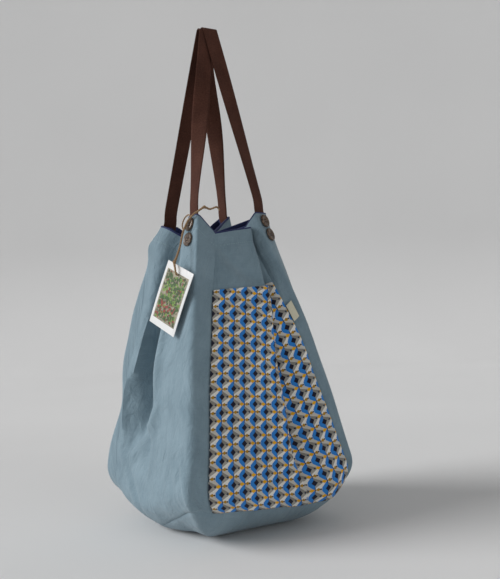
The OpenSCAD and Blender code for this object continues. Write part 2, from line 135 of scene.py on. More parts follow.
def quads(rows: int, cols: int, start: int = 0, wrap: bool = False, flip: bool = False) -> Array:
    """Quads of a grid of points.

    Args:
        rows: number of rows.
        cols: number of points in a row.
        start: index of the grid's first point.
        wrap: whether the last column joins the first.
        flip: whether the faces turn over.

    Returns:
        Array of four indices a face.
    """
    i = np.arange(rows - 1)[:, None] * cols
    j = np.arange(cols if wrap else cols - 1)[None]
    k = (j + 1) % cols
    q = np.stack([i + j, i + k, i + cols + k, i + cols + j], -1).reshape(-1, 4) + start
    return q[:, ::-1] if flip else q


def build(name: str, verts: Array, faces: list, uv: Array | None = None, sharp: float = 50.0) -> Piece:
    """Puts a worked-out surface into a new object.

    Args:
        name: the piece's name.
        verts: its points in millimetres.
        faces: arrays of indices, each with its own number of corners.
        uv: a place on the cloth for each point, in metres.
        sharp: angle between faces, in degrees, from which an edge is sharp.

    Returns:
        The object, at the origin.
    """
    mesh = bpy.data.meshes.new(name)
    polys = [f for group in faces for f in np.asarray(group).tolist()]
    mesh.from_pydata((np.asarray(verts, float).reshape(-1, 3) * MM).tolist(), [], polys)
    if uv is not None:
        corner = np.empty(len(mesh.loops), np.int32)
        mesh.loops.foreach_get("vertex_index", corner)
        layer = mesh.uv_layers.new(name=UV_NAME)
        layer.data.foreach_set("uv", uv.reshape(-1, 2)[corner].astype(np.float32).ravel())
    mesh.polygons.foreach_set("use_smooth", np.ones(len(mesh.polygons), bool))
    mesh.set_sharp_from_angle(angle=math.radians(sharp))
    mesh.update()
    obj = bpy.data.objects.new(name, mesh)
    bpy.context.scene.collection.objects.link(obj)
    return obj


def sheet(name: str, outer: Array, inner: Array, uv: Array) -> Piece:
    """Closed sheet of cloth between two grids that face each other."""
    rows, cols = outer.shape[:2]
    half = rows * cols
    index = np.arange(half).reshape(rows, cols)
    edge = np.concatenate([index[0], index[1:, -1], index[-1, -2::-1], index[-2::-1, 0]])
    rim = np.stack([edge[1:], edge[:-1], edge[:-1] + half, edge[1:] + half], -1)
    faces = [quads(rows, cols), quads(rows, cols, half, flip=True), rim]
    verts = np.concatenate([outer.reshape(-1, 3), inner.reshape(-1, 3)])
    return build(name, verts, faces, np.concatenate([uv.reshape(-1, 2)] * 2))


def bar(name: str, rings: Array, uv: Array | None = None, closed: bool = False, sharp: float = 50.0) -> Piece:
    """Bar through rings of points, each counterclockwise about the way ahead.

    Args:
        name: the piece's name.
        rings: points of rings by points by 3.
        uv: a place on the cloth for each point, in metres.
        closed: whether the last ring joins the first, or both ends are capped.
        sharp: as for build.

    Returns:
        The bar.
    """
    count, around = rings.shape[:2]
    if closed:
        faces = [quads(count + 1, around, wrap=True) % (count * around)]
    else:
        cap = np.arange(around)
        faces = [quads(count, around, wrap=True), [cap[::-1]], [cap + (count - 1) * around]]
    return build(name, rings, faces, uv, sharp)


# The bag's form


@dataclass(frozen=True)
class BagForm:
    """Outline of the bag at each height, in millimetres, as in the frame's source.

    The outline is a closed row of knots, whose tracks from the bottom seam to the rim are
    straight lines with bells and smooth steps added.
    """

    base_w: float = 288.0
    base_d: float = 284.0
    mouth_w: float = 124.0
    mouth_d: float = 114.0
    rim_h: float = 461.0
    corner_h: float = 62.0
    swell: float = 10.0
    rim_sag: float = 24.0
    rest_share: float = 0.4
    pleat_x: float = 32.0
    pleat_depth: float = 40.0
    pleat_lap: float = 14.0
    left_fold: float = 44.0
    right_fold: float = 66.0
    back_fold: float = 28.0
    seam_wrap: float = 29.0
    side_turn_h: float = 10.0
    side_turn_in: float = 18.0
    side_turn_share: float = 0.12
    tuck_in: float = 14.0
    tuck_share: float = 0.09
    waist: tuple = (0.32, 0.14)
    ear: tuple = (0.93, 0.05)
    reach_most: float = 0.46
    mitre_least: float = 0.12
    turn_points: int = 5
    run_step: float = 6.0

    @property
    def wall_h(self) -> float:
        """Height of the walls, from the front-left corner's seam to the rim."""
        return self.rim_h - self.corner_h

    def rise(self, t: Array, low: float, high: float) -> Array:
        """Height from a level at the seam to a level counted from the rim."""
        return lerp(low, self.rim_h + high, t)

    def foot(self, t: Array, share: float) -> Array:
        """1 at the bottom seam, and 0 from a share of the height upwards, by a square."""
        return (1 - np.minimum(t / share, 1)) ** 2

    def corner(self, t: Array, way: tuple, puff: float, pinch: float, low: float, high: float) -> Array:
        """Track of one corner of the bag.

        Args:
            t: shares of the height.
            way: signs of its x and y.
            puff: how far it swells out halfway up, as a sine.
            pinch: how far it draws in at the waist.
            low: its height at the bottom seam.
            high: its height at the rim, counted from the rim.

        Returns:
            A point for each share.
        """
        out = puff * np.sin(np.pi * t) - pinch * bump(t, *self.waist)
        under = self.tuck_in * self.foot(t, self.tuck_share)
        half_w = lerp(self.base_w / 2, self.mouth_w / 2, t)
        half_d = lerp(self.base_d / 2, self.mouth_d / 2, t)
        grow = out - under
        return point(way[0] * (half_w + grow), way[1] * (half_d + grow), self.rise(t, low, high))

    def front_knots(self, t: Array, left: Array, right: Array) -> list[Array]:
        """Left seam, the pleat's edge, bottom and return, and the right seam."""
        seam_h = self.corner_h
        dip = seam_h - 24
        y = (left[:, 1] + right[:, 1]) / 2
        low = bump(t, 0, 0.12)
        deep = self.pleat_depth * (0.87 + 0.13 * t) * ease(t, 0, 0.3)
        lap = self.pleat_lap * ease(t, 0.03, 0.3)
        wrap = lerp(12, 20, ease(t, 0, 0.45)) - 16 * ease(t, 0.6, 1)
        start = point(left[:, 0] + self.seam_wrap, left[:, 1], self.rise(t, seam_h - 10, -self.rim_sag - 2))
        end = point(right[:, 0] - wrap, right[:, 1] + 22 * ease(t, 0.6, 1), self.rise(t, seam_h - 9, -15))
        edge = point(self.pleat_x + 12 * low + 5 * bump(t, 0.75, 0.1), y + 4 * t - 6 * low,
                     self.rise(t, dip, -self.rim_sag + 6))
        valley = point(self.pleat_x - lap + 22 * low, y + deep - 6 * low,
                       self.rise(t, dip, -self.rim_sag + 4))
        middle = (valley + end) / 2
        back = point(middle[:, 0] + 4 * (1 - t), middle[:, 1] - 9 * (1 - t),
                     self.rise(t, dip, -self.rim_sag + 6))
        return [start, edge, valley, back, end]

    def right_knots(self, t: Array, front: Array, back: Array, gathered: Array) -> list[Array]:
        """Gathered front corner, the point beside it, the fold's edge, valley and edge, the back
        corner and the seam beyond it."""
        x = (front[:, 0] + back[:, 0]) / 2 - self.side_turn_in * self.foot(t, self.side_turn_share)
        deep = self.right_fold * ease(t, 0.25, 1) ** 1.2
        beside = front + point(lerp(-1, 5, t) - 3 * ease(t, 0.8, 1), lerp(34, 10, t), 0 * t)
        edge = point(x, -22 - 20 * (1 - t), self.rise(t, self.side_turn_h, 0))
        valley = point(x - deep, -2 * t, self.rise(t, self.side_turn_h, -self.rim_sag))
        far = point(x - 17 * t, lerp(42, 27, t), self.rise(t, self.side_turn_h, 6))
        drawn = back - point(16 * t, -6 * t, 0 * t)
        seam = point(drawn[:, 0] - 24, drawn[:, 1] - 4 * t, self.rise(t, self.corner_h - 8, -10))
        return [gathered, beside, edge, valley, far, drawn, seam]

    def back_knots(self, t: Array, right: Array, left: Array) -> list[Array]:
        """The fold's two edges with its valley between them, and the left seam."""
        y = (right[:, 1] + left[:, 1]) / 2 - 4 * self.foot(t, self.tuck_share)
        dip = self.corner_h - 20
        edges = [point(x + 0 * t, y - 3 * t, self.rise(t, dip, -self.rim_sag + 5)) for x in (18, -18)]
        valley = point(0 * t, y - self.back_fold * ease(t, 0.1, 0.9), self.rise(t, dip - 2, -self.rim_sag))
        seam = point(left[:, 0] + 24 + 12 * ease(t, 0.6, 0.9), left[:, 1] + 8 * ease(t, 0.6, 1),
                     self.rise(t, self.corner_h - 12, -8))
        return [edges[0], valley, edges[1], seam]

    def left_knots(self, t: Array, back: Array, front: Array) -> list[Array]:
        """Back corner, the fold's edge, valley and edge, and the front corner."""
        turn = self.foot(t, self.side_turn_share)
        x = (front[:, 0] + back[:, 0]) / 2 + self.side_turn_in * turn
        deep = (self.left_fold - 8) * ease(t, 0.16, 0.45) + 8 * t
        edge = point(x + 2, lerp(86, 34, ease(t, 0.15, 1)) - 46 * turn, self.rise(t, self.side_turn_h, -14))
        valley = point(x + deep, 8 + 0 * t, self.rise(t, self.side_turn_h, -self.rim_sag - 18))
        near = point(x + 2 * t, lerp(0, -22, ease(t, 0.4, 0.9)), self.rise(t, self.side_turn_h, 0))
        return [back, edge, valley, near, front]

    def knots(self, t: Array) -> Array:
        """Knots of the outline at shares t of the height, counterclockwise from above.

        Args:
            t: shares of the height, one for each row.

        Returns:
            Array of rows by KNOTS by 3.
        """
        ear = bump(t, *self.ear)
        h = self.corner_h
        front_left = self.corner(t, (-1, -1), self.swell, 0, h, 0)
        front_right = self.corner(t, (1, -1), self.swell * 0.3, 0, h - 1, 4)
        front_right = front_right + point(3 * (1 - t), 0 * t, 0 * t)
        back_right = self.corner(t, (1, 1), self.swell * 0.8, 4, h, 6)
        back_left = self.corner(t, (-1, 1), self.swell * 1.3, 9, h - 10, -6)
        back_left = back_left + point(-8 * ear, 5 * t + 3 * ear, 0 * t)
        gathered = front_right - point(28 * ease(t, 0.5, 1), 4 * t, 0 * t)
        right = self.right_knots(t, front_right, back_right, gathered)
        front = self.front_knots(t, front_left, gathered)
        back = self.back_knots(t, right[-2], back_left)
        return np.stack(front + right + back + self.left_knots(t, back_left, front_left), 1)

    def reaches(self, t: Array) -> Array:
        """How far each knot's rounding reaches along its two sides, 0 at a seam."""
        soft = ease(t, 0, 0.9)
        seam = np.zeros_like(t)
        fold = seam + 12
        front = [seam, 6 + 5 * (1 - t), seam + 8, seam + 20, seam]
        right = [lerp(24, 4, soft), lerp(20, 4, soft), fold, fold, lerp(12, 4, t), lerp(34, 4, soft), seam]
        back = [fold, fold, fold, seam]
        left = [lerp(34, 5, soft), seam + 24, fold, lerp(8, 4, t), lerp(44, 5, soft)]
        return np.stack(front + right + back + left, 1)

    def inset(self, k: Array, d: float) -> Array:
        """Knots moved inwards by d along mitred corners."""
        flat = k[..., :2]
        u = unit(flat - np.roll(flat, 1, 1))
        v = unit(np.roll(flat, -1, 1) - flat)
        m = point(-u[..., 1] - v[..., 1], u[..., 0] + v[..., 0], 0.0)
        return k + d * m / np.maximum(1 + (u * v).sum(-1), self.mitre_least)[..., None]

    def runs(self) -> list[int]:
        """Number of points on the straight run after each knot."""
        k = self.knots(np.array([0.0, 0.4, 1.0]))
        long = np.linalg.norm(np.roll(k, -1, 1) - k, axis=-1).max(0)
        return [max(2, int(x / self.run_step)) for x in long]

    def ring(self, t: Array, d: float) -> tuple[Array, list[int]]:
        """Closed outline of each row, its knots rounded by quadratic curves.

        Args:
            t: shares of the height.
            d: how far inside the outer face.

        Returns:
            Points of rows by columns by 3, and the column of each knot's middle.
        """
        k = self.inset(self.knots(t), d)
        a, b = np.roll(k, 1, 1) - k, np.roll(k, -1, 1) - k
        shorter = np.minimum(np.linalg.norm(a, axis=-1), np.linalg.norm(b, axis=-1))
        reach = np.minimum(self.reaches(t), self.reach_most * shorter)[..., None]
        p0, p2 = k + unit(a) * reach, k + unit(b) * reach
        parts, mids, at = [], [], 0
        u = np.linspace(0, 1, self.turn_points + 1)[None, :, None]
        for i, run in enumerate(self.runs()):
            if i in SEAMS:
                parts.append(k[:, i:i + 1])
                mids.append(at)
                at += 1
            else:
                q0, q1, q2 = (g[:, i:i + 1] for g in (p0, k, p2))
                parts.append((1 - u) ** 2 * q0 + 2 * u * (1 - u) * q1 + u * u * q2)
                mids.append(at + self.turn_points // 2)
                at += self.turn_points + 1
            w = (np.arange(1, run + 1) / (run + 1))[None, :, None]
            parts.append(lerp(p2[:, i:i + 1], np.roll(p0, -1, 1)[:, i:i + 1], w))
            at += run
        return np.concatenate(parts, 1), mids

    def beside(self, t: Array, knot: int, share: Array, d: float) -> tuple[Array, Array]:
        """Points on the side that starts at a knot, and the way along that side.

        Args:
            t: shares of the height.
            knot: the side's first knot.
            share: how far along the side each point lies.
            d: how far inside the outer face.

        Returns:
            The points, and the side's direction with its length.
        """
        k = self.inset(self.knots(t), d)
        a, b = k[:, knot], k[:, (knot + 1) % KNOTS]
        return lerp(a, b, share[:, None]), b - a


@dataclass(frozen=True)
class Crease:
    """A soft ridge in the cloth along a line of points, or a valley where its height is below 0."""

    line: tuple
    width: float
    height: float

    def relief(self, p: Array) -> Array:
        """How far the cloth moves out at points p: a bell of the distance to the line, which
        fades at both ends of the line by the root of a sine."""
        line = np.asarray(self.line, float)
        best = np.full(p.shape[:-1], np.inf)
        along = np.zeros(p.shape[:-1])
        total = len(line) - 1
        for i, (a, b) in enumerate(zip(line[:-1], line[1:])):
            ab = b - a
            s = np.clip(((p - a) @ ab) / (ab @ ab), 0, 1)
            away = np.linalg.norm(p - a - s[..., None] * ab, axis=-1)
            nearer = away < best
            best = np.where(nearer, away, best)
            along = np.where(nearer, (i + s) / total, along)
        ends = np.sin(np.pi * np.clip(along, 0.04, 0.96)) ** 0.5
        return self.height * ends * bump(best, 0, self.width)


@dataclass(frozen=True)
class Ripple:
    """A plane wave in the cloth: its direction times 2 pi over its length, phase and height."""

    way: tuple
    phase: float
    height: float

    def relief(self, p: Array) -> Array:
        """Height of the wave at points p."""
        return self.height * np.sin(p @ np.asarray(self.way, float) + self.phase)


@dataclass(frozen=True)
class SeamRelief:
    """How a seam or a stitched hem draws the cloth in: a groove with puckers beside it."""

    groove: float
    groove_w: float
    pucker: float
    pucker_l: float
    pucker_w: float

    def dip(self, gap: Array) -> Array:
        """Depth of the groove at a distance from the seam: a bell."""
        return self.groove * bump(gap, 0, self.groove_w)

    def wave(self, gap: Array, along: Array) -> Array:
        """Height of the puckers: a cosine along the seam under a bell of the distance to it."""
        return self.pucker * np.cos(2 * np.pi * along / self.pucker_l) * bump(gap, 0, self.pucker_w)


@dataclass
class Cloth:
    """The bag's surface with its relief, from which every layer of cloth is cut."""

    form: BagForm
    creases: tuple[Crease, ...]
    ripples: tuple[Ripple, ...]
    rows: int = 104
    low_rows: int = 12
    low_share: float = 0.08
    row_gap: float = 0.004
    base_rows: int = 30
    base_even: float = 0.8
    pocket_h: float = 312.0
    pocket_hem: float = 18.0
    hem_h: float = 20.0
    side_seam: SeamRelief = SeamRelief(1.1, 2.4, 0.35, 11, 8)
    base_seam: SeamRelief = SeamRelief(1.0, 2.6, 0.0, 1, 1)
    hem: SeamRelief = SeamRelief(0.7, 2.2, 0.25, 13, 7)
    t: Array = field(init=False)
    base_q: Array = field(init=False)
    mids: list = field(init=False)
    normal: Array = field(init=False)
    relief: Array = field(init=False)
    along: Array = field(init=False)
    up: Array = field(init=False)

    def __post_init__(self) -> None:
        """Works out the rows, normals, lengths and relief once."""
        rest = self.form.rest_share
        marks = [self.pocket_top, self.pocket_fold, self.hem_share]
        low = np.linspace(0, self.low_share, self.low_rows)[:-1]
        even = np.concatenate([low, np.linspace(self.low_share, 1, self.rows)])
        even = even[np.abs(even[:, None] - np.array(marks)).min(1) > self.row_gap]
        self.t = np.sort(np.concatenate([even, marks]))
        q = np.linspace(rest, 1, self.base_rows) ** self.base_even
        self.base_q = lerp(rest, 1, (q - q[0]) / (1 - q[0]))
        face, self.mids = self.flat_layer(0, 0)
        closed = np.concatenate([face[:, -1:], face, face[:, :1]], 1)
        self.normal = unit(np.cross(closed[:, 2:] - closed[:, :-2], np.gradient(face, axis=0)))
        for _ in range(2):
            beside = 0.5 * np.roll(self.normal, 1, 1) + 0.5 * np.roll(self.normal, -1, 1)
            self.normal = unit(self.normal + beside)
        step = np.linalg.norm(np.diff(closed[:, 1:], axis=1), axis=-1)
        self.along = np.concatenate([np.zeros((len(face), 1)), np.cumsum(step, 1)], 1)
        rise = np.linalg.norm(np.diff(face, axis=0), axis=-1)
        up = np.concatenate([np.zeros((1, face.shape[1])), np.cumsum(rise, 0)])
        self.up = up - up[self.base_rows - 1]
        self.relief = self.work_relief(face)

    @property
    def pocket_top(self) -> float:
        """Share of the height where the pocket ends."""
        return self.pocket_h / self.form.wall_h

    @property
    def pocket_fold(self) -> float:
        """Share of the height where the pocket's turned hem ends."""
        return (self.pocket_h - self.pocket_hem) / self.form.wall_h

    @property
    def hem_share(self) -> float:
        """Share of the height of the stitches below the rim."""
        return 1 - self.hem_h / self.form.wall_h

    def flat_layer(self, d: float, lift: float) -> tuple[Array, list[int]]:
        """Bottom and walls of a layer without relief.

        The bottom repeats the outline at the seam, shrunk by q, and falls to the floor by a
        power of how far q has gone, a steeper one where the seam lies low.

        Args:
            d: how far inside the outer face.
            lift: height of its flat over the floor.

        Returns:
            Points of rows by columns by 3, and the column of each knot's middle.
        """
        walls, mids = self.form.ring(self.t, d)
        q = self.base_q[:-1, None]
        u = (q - self.form.rest_share) / (1 - self.form.rest_share)
        x, y, z = walls[0].T
        fall = z * u ** (4.5 - 2.2 * ease(z, self.form.side_turn_h, 40)) + lift * (1 - u)
        return np.concatenate([point(x * q, y * q, fall), walls]), mids

    def work_relief(self, p: Array) -> Array:
        """Sum of creases, ripples and seam relief over the points of the outer face."""
        total = sum(crease.relief(p) for crease in self.creases)
        rough = sum(ripple.relief(p) for ripple in self.ripples)
        total = total + rough * ease(p[..., 2], 0, 60)
        s = self.along[:, :-1]
        for side in Side:
            gap = np.abs(s - s[:, self.mids[side.first]][:, None])
            gap = np.minimum(gap, self.along[:, -1:] - gap)
            total -= self.side_seam.dip(gap) * ease(self.up, -20, 6)
            total += self.side_seam.wave(gap, self.up) * ease(self.up, 0, 10)
        total -= self.base_seam.dip(self.up)
        share = np.concatenate([np.zeros(self.base_rows - 1), self.t])[:, None]
        below = (self.hem_share - share) * self.form.wall_h
        total += self.hem.wave(below, s) - self.hem.dip(below)
        return total * ease(p[..., 2], 2, 40)

    def layer(self, d: float, lift: float = 0.0) -> Array:
        """Bottom and walls of a layer d inside the outer face, with its relief."""
        return self.flat_layer(d, lift)[0] + self.normal * self.relief[..., None]

    def columns(self, side: Side) -> Array:
        """Columns of one wall, its two seams included, the last of all one past the others."""
        last = self.normal.shape[1] if side.last == KNOTS else self.mids[side.last]
        return np.arange(self.mids[side.first], last + 1)

    def panel(self, name: str, side: Side, near: float, far: float, top: float = 1.0,
              low: float = 0.0) -> Piece:
        """One wall of a layer as a closed sheet with its own places on the cloth.

        Args:
            name: the piece's name.
            side: which wall.
            near: how far its outer face lies inside the bag's.
            far: the same for its inner face.
            top: share of the height where it ends.
            low: share of the height where it starts.

        Returns:
            The panel.
        """
        cols = self.columns(side)
        rows = np.flatnonzero((self.t <= top + 1e-6) & (self.t >= low - 1e-6)) + self.base_rows - 1
        grid = np.ix_(rows, cols % self.normal.shape[1])
        s = self.along[np.ix_(rows, cols)]
        s = s - s[:, :1]
        if side is Side.FRONT:
            s = self.pleated(s)
        uv = np.stack([s, self.up[grid]], -1) * MM
        return sheet(name, self.layer(near)[grid], self.layer(far)[grid], uv)

    def pleated(self, s: Array) -> Array:
        """Distance across the front cloth: from the left seam up to the pleat's edge, from the
        right seam beyond its hidden part, and a straight mix between."""
        edge, far = self.mids[1], self.mids[3]
        from_right = s[0, -1] - (s[:, -1:] - s)
        mix = np.clip((np.arange(s.shape[1]) - edge) / (far - edge), 0, 1)
        return lerp(s, from_right, mix)

    def bottom(self, name: str, near: float, far: float) -> Piece:
        """Bottom of a layer between two depths, closed over the flat that it rests on."""
        rows = self.base_rows
        outer, inner = self.layer(near, near)[:rows], self.layer(far, far)[:rows]
        cols = outer.shape[1]
        half = rows * cols
        verts = np.concatenate([outer.reshape(-1, 3), inner.reshape(-1, 3), [[0, 0, near], [0, 0, far]]])
        j = np.arange(cols)
        k = (j + 1) % cols
        seam = (rows - 1) * cols
        faces = [quads(rows, cols, wrap=True), quads(rows, cols, half, wrap=True, flip=True),
                 np.stack([k, j, np.full(cols, 2 * half)], -1),
                 np.stack([half + j, half + k, np.full(cols, 2 * half + 1)], -1),
                 np.stack([seam + j, seam + k, seam + k + half, seam + j + half], -1)]
        return build(name, verts, faces, verts[:, :2] * MM)

    def line_at(self, t: float, d: float) -> Array:
        """Closed line round the bag at a share of the height, d inside the outer face."""
        row = int(np.argmin(np.abs(self.t - t))) + self.base_rows - 1
        line = self.layer(d)[row]
        return np.concatenate([line, line[:1]])


# Finishes


def add(mat: Material, kind: str, links: dict, out: int | str = 0, **settings) -> Socket | None:
    """Adds a node with its settings and links.

    Args:
        mat: the material.
        kind: the node's type after "ShaderNode".
        links: a value or a socket for each input, by name or number.
        out: which output to return.
        settings: the node's own settings.

    Returns:
        The output socket, or None for the material's output.
    """
    node = mat.node_tree.nodes.new("ShaderNode" + kind)
    for key, value in settings.items():
        setattr(node, key, value)
    for key, value in links.items():
        if isinstance(value, Socket):
            mat.node_tree.links.new(value, node.inputs[key])
        else:
            node.inputs[key].default_value = value
    return node.outputs[out] if node.outputs else None


def tone(code: str) -> tuple[float, float, float, float]:
    """Linear colour of an sRGB hex value."""
    s = np.array([int(code[i:i + 2], 16) / 255 for i in (1, 3, 5)])
    return (*np.where(s <= 0.04045, s / 12.92, ((s + 0.055) / 1.055) ** 2.4).tolist(), 1.0)


def scale(*sizes: float) -> tuple[float, ...]:
    """Pattern scale for sizes in millimetres, which sets one unit of a pattern to each size."""
    return tuple(1 / (size * MM) for size in sizes)


def new_material(name: str) -> Material:
    """Empty material."""
    mat = bpy.data.materials.new(name)
    mat.use_nodes = True
    mat.node_tree.nodes.clear()
    return mat


def close(mat: Material, links: dict) -> Material:
    """Joins a principled shader with the given inputs to the material's output."""
    add(mat, "OutputMaterial", {"Surface": add(mat, "BsdfPrincipled", links)})
    return mat


@dataclass(frozen=True)
class Woven:
    """Plain-woven cloth: crossing threads, slubs, washed patches and fine crumples.

    Sizes are in millimetres. The real threads lie about 0.6 mm apart, too fine for the
    render, so pitch is coarser.
    """

    name: str
    shade: str
    light: str
    pitch: float = 1.5
    thread_h: float = 0.3
    slub_w: float = 1.11
    slub_l: float = 28.6
    slub: float = 0.16
    patch: float = 62.5
    wash: float = 0.35
    roughness: float = 0.9
    sheen: float = 0.15
    crumple_l: float = 23.8
    crumple_h: float = 4.0
    crumple: float = 0.5
    weave: float = 0.25

    def colour(self, mat: Material, uv: Socket) -> Socket:
        """Colour of the cloth: dark to light by slubs and washed patches."""
        thin, long = scale(self.slub_w, self.slub_l)
        warp = add(mat, "Mapping", {"Vector": uv, "Scale": (thin, long, 1)})
        weft = add(mat, "Mapping", {"Vector": uv, "Scale": (long, thin, 1)})
        a = add(mat, "TexNoise", {"Vector": warp, "Scale": 1.0, "Detail": 3.0})
        b = add(mat, "TexNoise", {"Vector": weft, "Scale": 1.0, "Detail": 3.0})
        threads = add(mat, "Math", {0: a, 1: b}, operation="ADD")
        threads = add(mat, "MapRange", {"Value": threads, 1: 0.7, 2: 1.3, 3: -self.slub, 4: self.slub})
        patch = add(mat, "TexNoise", {"Vector": uv, "Scale": scale(self.patch)[0], "Detail": 4.0,
                                      "Roughness": 0.6})
        patch = add(mat, "MapRange", {"Value": patch, 1: 0.3, 2: 0.7, 3: 0.5 - self.wash, 4: 0.5 + self.wash})
        share = add(mat, "Math", {0: threads, 1: patch}, operation="ADD", use_clamp=True)
        return add(mat, "Mix", {0: share, 6: tone(self.shade), 7: tone(self.light)}, 2, data_type="RGBA")

    def surface(self, mat: Material, uv: Socket) -> Socket:
        """Normal of the cloth: crumples some centimetres long under crossing threads, which
        are the product of two sines."""
        k = math.pi / (self.pitch * MM)
        turned = add(mat, "Mapping", {"Vector": uv, "Scale": (k, k, 1)})
        x = add(mat, "SeparateXYZ", {"Vector": turned})
        sines = [add(mat, "Math", {0: x.node.outputs[i]}, operation="SINE") for i in (0, 1)]
        cross = add(mat, "Math", {0: sines[0], 1: sines[1]}, operation="MULTIPLY")
        soft = add(mat, "Mapping", {"Vector": uv, "Scale": (1.6, 1, 1)})
        fold = add(mat, "TexNoise", {"Vector": soft, "Scale": scale(self.crumple_l)[0], "Detail": 6.0,
                                     "Roughness": 0.6, "Distortion": 0.6})
        big = add(mat, "Bump", {"Height": fold, "Strength": self.crumple, "Distance": self.crumple_h * MM})
        return add(mat, "Bump", {"Height": cross, "Strength": self.weave, "Distance": self.thread_h * MM,
                                 "Normal": big})

    def material(self) -> Material:
        """The finished cloth."""
        mat = new_material(self.name)
        uv = add(mat, "UVMap", {}, uv_map=UV_NAME)
        return close(mat, {"Base Color": self.colour(mat, uv), "Normal": self.surface(mat, uv),
                           "Roughness": self.roughness, "Sheen Weight": self.sheen,
                           "Sheen Roughness": 0.6, "Specular IOR Level": 0.25})


@dataclass(frozen=True)
class LozengePrint(Woven):
    """Cotton printed with lozenges in columns that step by half a row.

    Each lozenge has a dark diamond at its middle, a blue angle behind it, pale strips along its
    left edges, grey ones at its right, gold at its right tip and brass at its left. Sizes are
    in millimetres, and x and y run from the middle of a lozenge.
    """

    column: float = 18.0
    row: float = 21.5
    rim: float = 0.74
    angle_slope: float = 0.98
    angle_tip: float = 11.9
    angle_back: float = 9.2
    line_w: float = 0.5
    line_from: float = 7.0
    blue: str = "#2a86dc"
    dark: str = "#15152b"
    node: str = "#22354a"
    gold: str = "#f0b31c"
    brass: str = "#b98a1c"
    grey: tuple = ("#8f8c85", "#aaa79f")
    pale: tuple = ("#f4f1ea", "#cfccc3")

    def diamonds(self) -> tuple:
        """Small diamonds on a lozenge: x of the middle, half width, half height and colour."""
        return ((13.6, 4.2, 3.1, self.gold), (-14.4, 3.8, 3.1, self.brass), (8.4, 2.1, 1.5, self.node),
                (-10.8, 1.7, 1.5, self.node), (18.0, 1.1, 5.0, self.node), (-18.0, 1.1, 5.0, self.node),
                (0.0, 4.3, 4.7, self.dark))

    def edges(self) -> list[tuple]:
        """Arithmetic from u and v to the tests of the print: a result, its operation and its parts.

        A place belongs to the lozenge at whose middle the sum of its distances, each over the
        half axis, is below 1, and otherwise to its neighbour half a row on. Each test is a
        straight edge in the lozenge's own x and y.
        """
        c, h = self.column, self.row / 2
        steps = [("x0", "WRAP", "u", c, -c), ("y0", "WRAP", "v", h, -h),
                 ("u1", "ADD", "u", c), ("x1", "WRAP", "u1", c, -c),
                 ("v1", "ADD", "v", h), ("y1", "WRAP", "v1", h, -h),
                 ("ax0", "ABSOLUTE", "x0"), ("ay0", "ABSOLUTE", "y0"),
                 ("near", "MULTIPLY_ADD", "ay0", c / h, "ax0"), ("own", "LESS_THAN", "near", c),
                 ("dx", "SUBTRACT", "x0", "x1"), ("x", "MULTIPLY_ADD", "own", "dx", "x1"),
                 ("dy", "SUBTRACT", "y0", "y1"), ("y", "MULTIPLY_ADD", "own", "dy", "y1"),
                 ("ax", "ABSOLUTE", "x"), ("ay", "ABSOLUTE", "y"),
                 ("low", "LESS_THAN", "y", 0.0), ("left", "LESS_THAN", "x", 0.0),
                 ("right", "GREATER_THAN", "x", 0.0),
                 ("far", "MULTIPLY_ADD", "ay", c / h, "ax"), ("rim", "GREATER_THAN", "far", self.rim * c),
                 ("slope", "MULTIPLY_ADD", "ay", self.angle_slope, -self.angle_tip),
                 ("back", "MAXIMUM", "slope", -self.angle_back), ("ahead", "GREATER_THAN", "x", "back"),
                 ("angle", "MULTIPLY", "ahead", "left"),
                 ("thin", "LESS_THAN", "ax", self.line_w), ("tall", "GREATER_THAN", "ay", self.line_from),
                 ("line", "MULTIPLY", "thin", "tall")]
        for i, (at, wide, high, _) in enumerate(self.diamonds()):
            steps += [(f"d{i}", "SUBTRACT", "x", at), (f"e{i}", "ABSOLUTE", f"d{i}"),
                      (f"f{i}", "MULTIPLY", f"e{i}", 1 / wide),
                      (f"g{i}", "MULTIPLY_ADD", "ay", 1 / high, f"f{i}"),
                      (f"diamond{i}", "LESS_THAN", f"g{i}", 1.0)]
        return steps

    def layers(self) -> list[tuple]:
        """Colours laid on each other: a result, the test that shares it, and both its parts."""
        steps = [("grey", "low", *self.grey), ("pale", "low", *self.pale),
                 ("bright", "low", *self.pale[::-1]), ("edge", "rim", "grey", "bright"),
                 ("print", "right", "pale", "edge"), ("print", "angle", "print", self.blue)]
        steps += [("print", f"diamond{i}", "print", d[-1]) for i, d in enumerate(self.diamonds())]
        return steps + [("print", "line", "print", self.node)]

    def colour(self, mat: Material, uv: Socket) -> Socket:
        """Colour of the print, times the cloth's own slubs and washed patches."""
        spot = add(mat, "Mapping", {"Vector": uv, "Scale": (*scale(1, 1), 1)})
        u = add(mat, "SeparateXYZ", {"Vector": spot})
        marks = {"u": u, "v": u.node.outputs[1]}
        for name, kind, *parts in self.edges():
            links = {i: marks[p] if isinstance(p, str) else p for i, p in enumerate(parts)}
            marks[name] = add(mat, "Math", links, operation=kind)
        for name, share, *parts in self.layers():
            a, b = (tone(p) if p.startswith("#") else marks[p] for p in parts)
            marks[name] = add(mat, "Mix", {0: marks[share], 6: a, 7: b}, 2, data_type="RGBA")
        return add(mat, "Mix", {0: 1.0, 6: marks["print"], 7: super().colour(mat, uv)}, 2,
                   data_type="RGBA", blend_type="MULTIPLY")


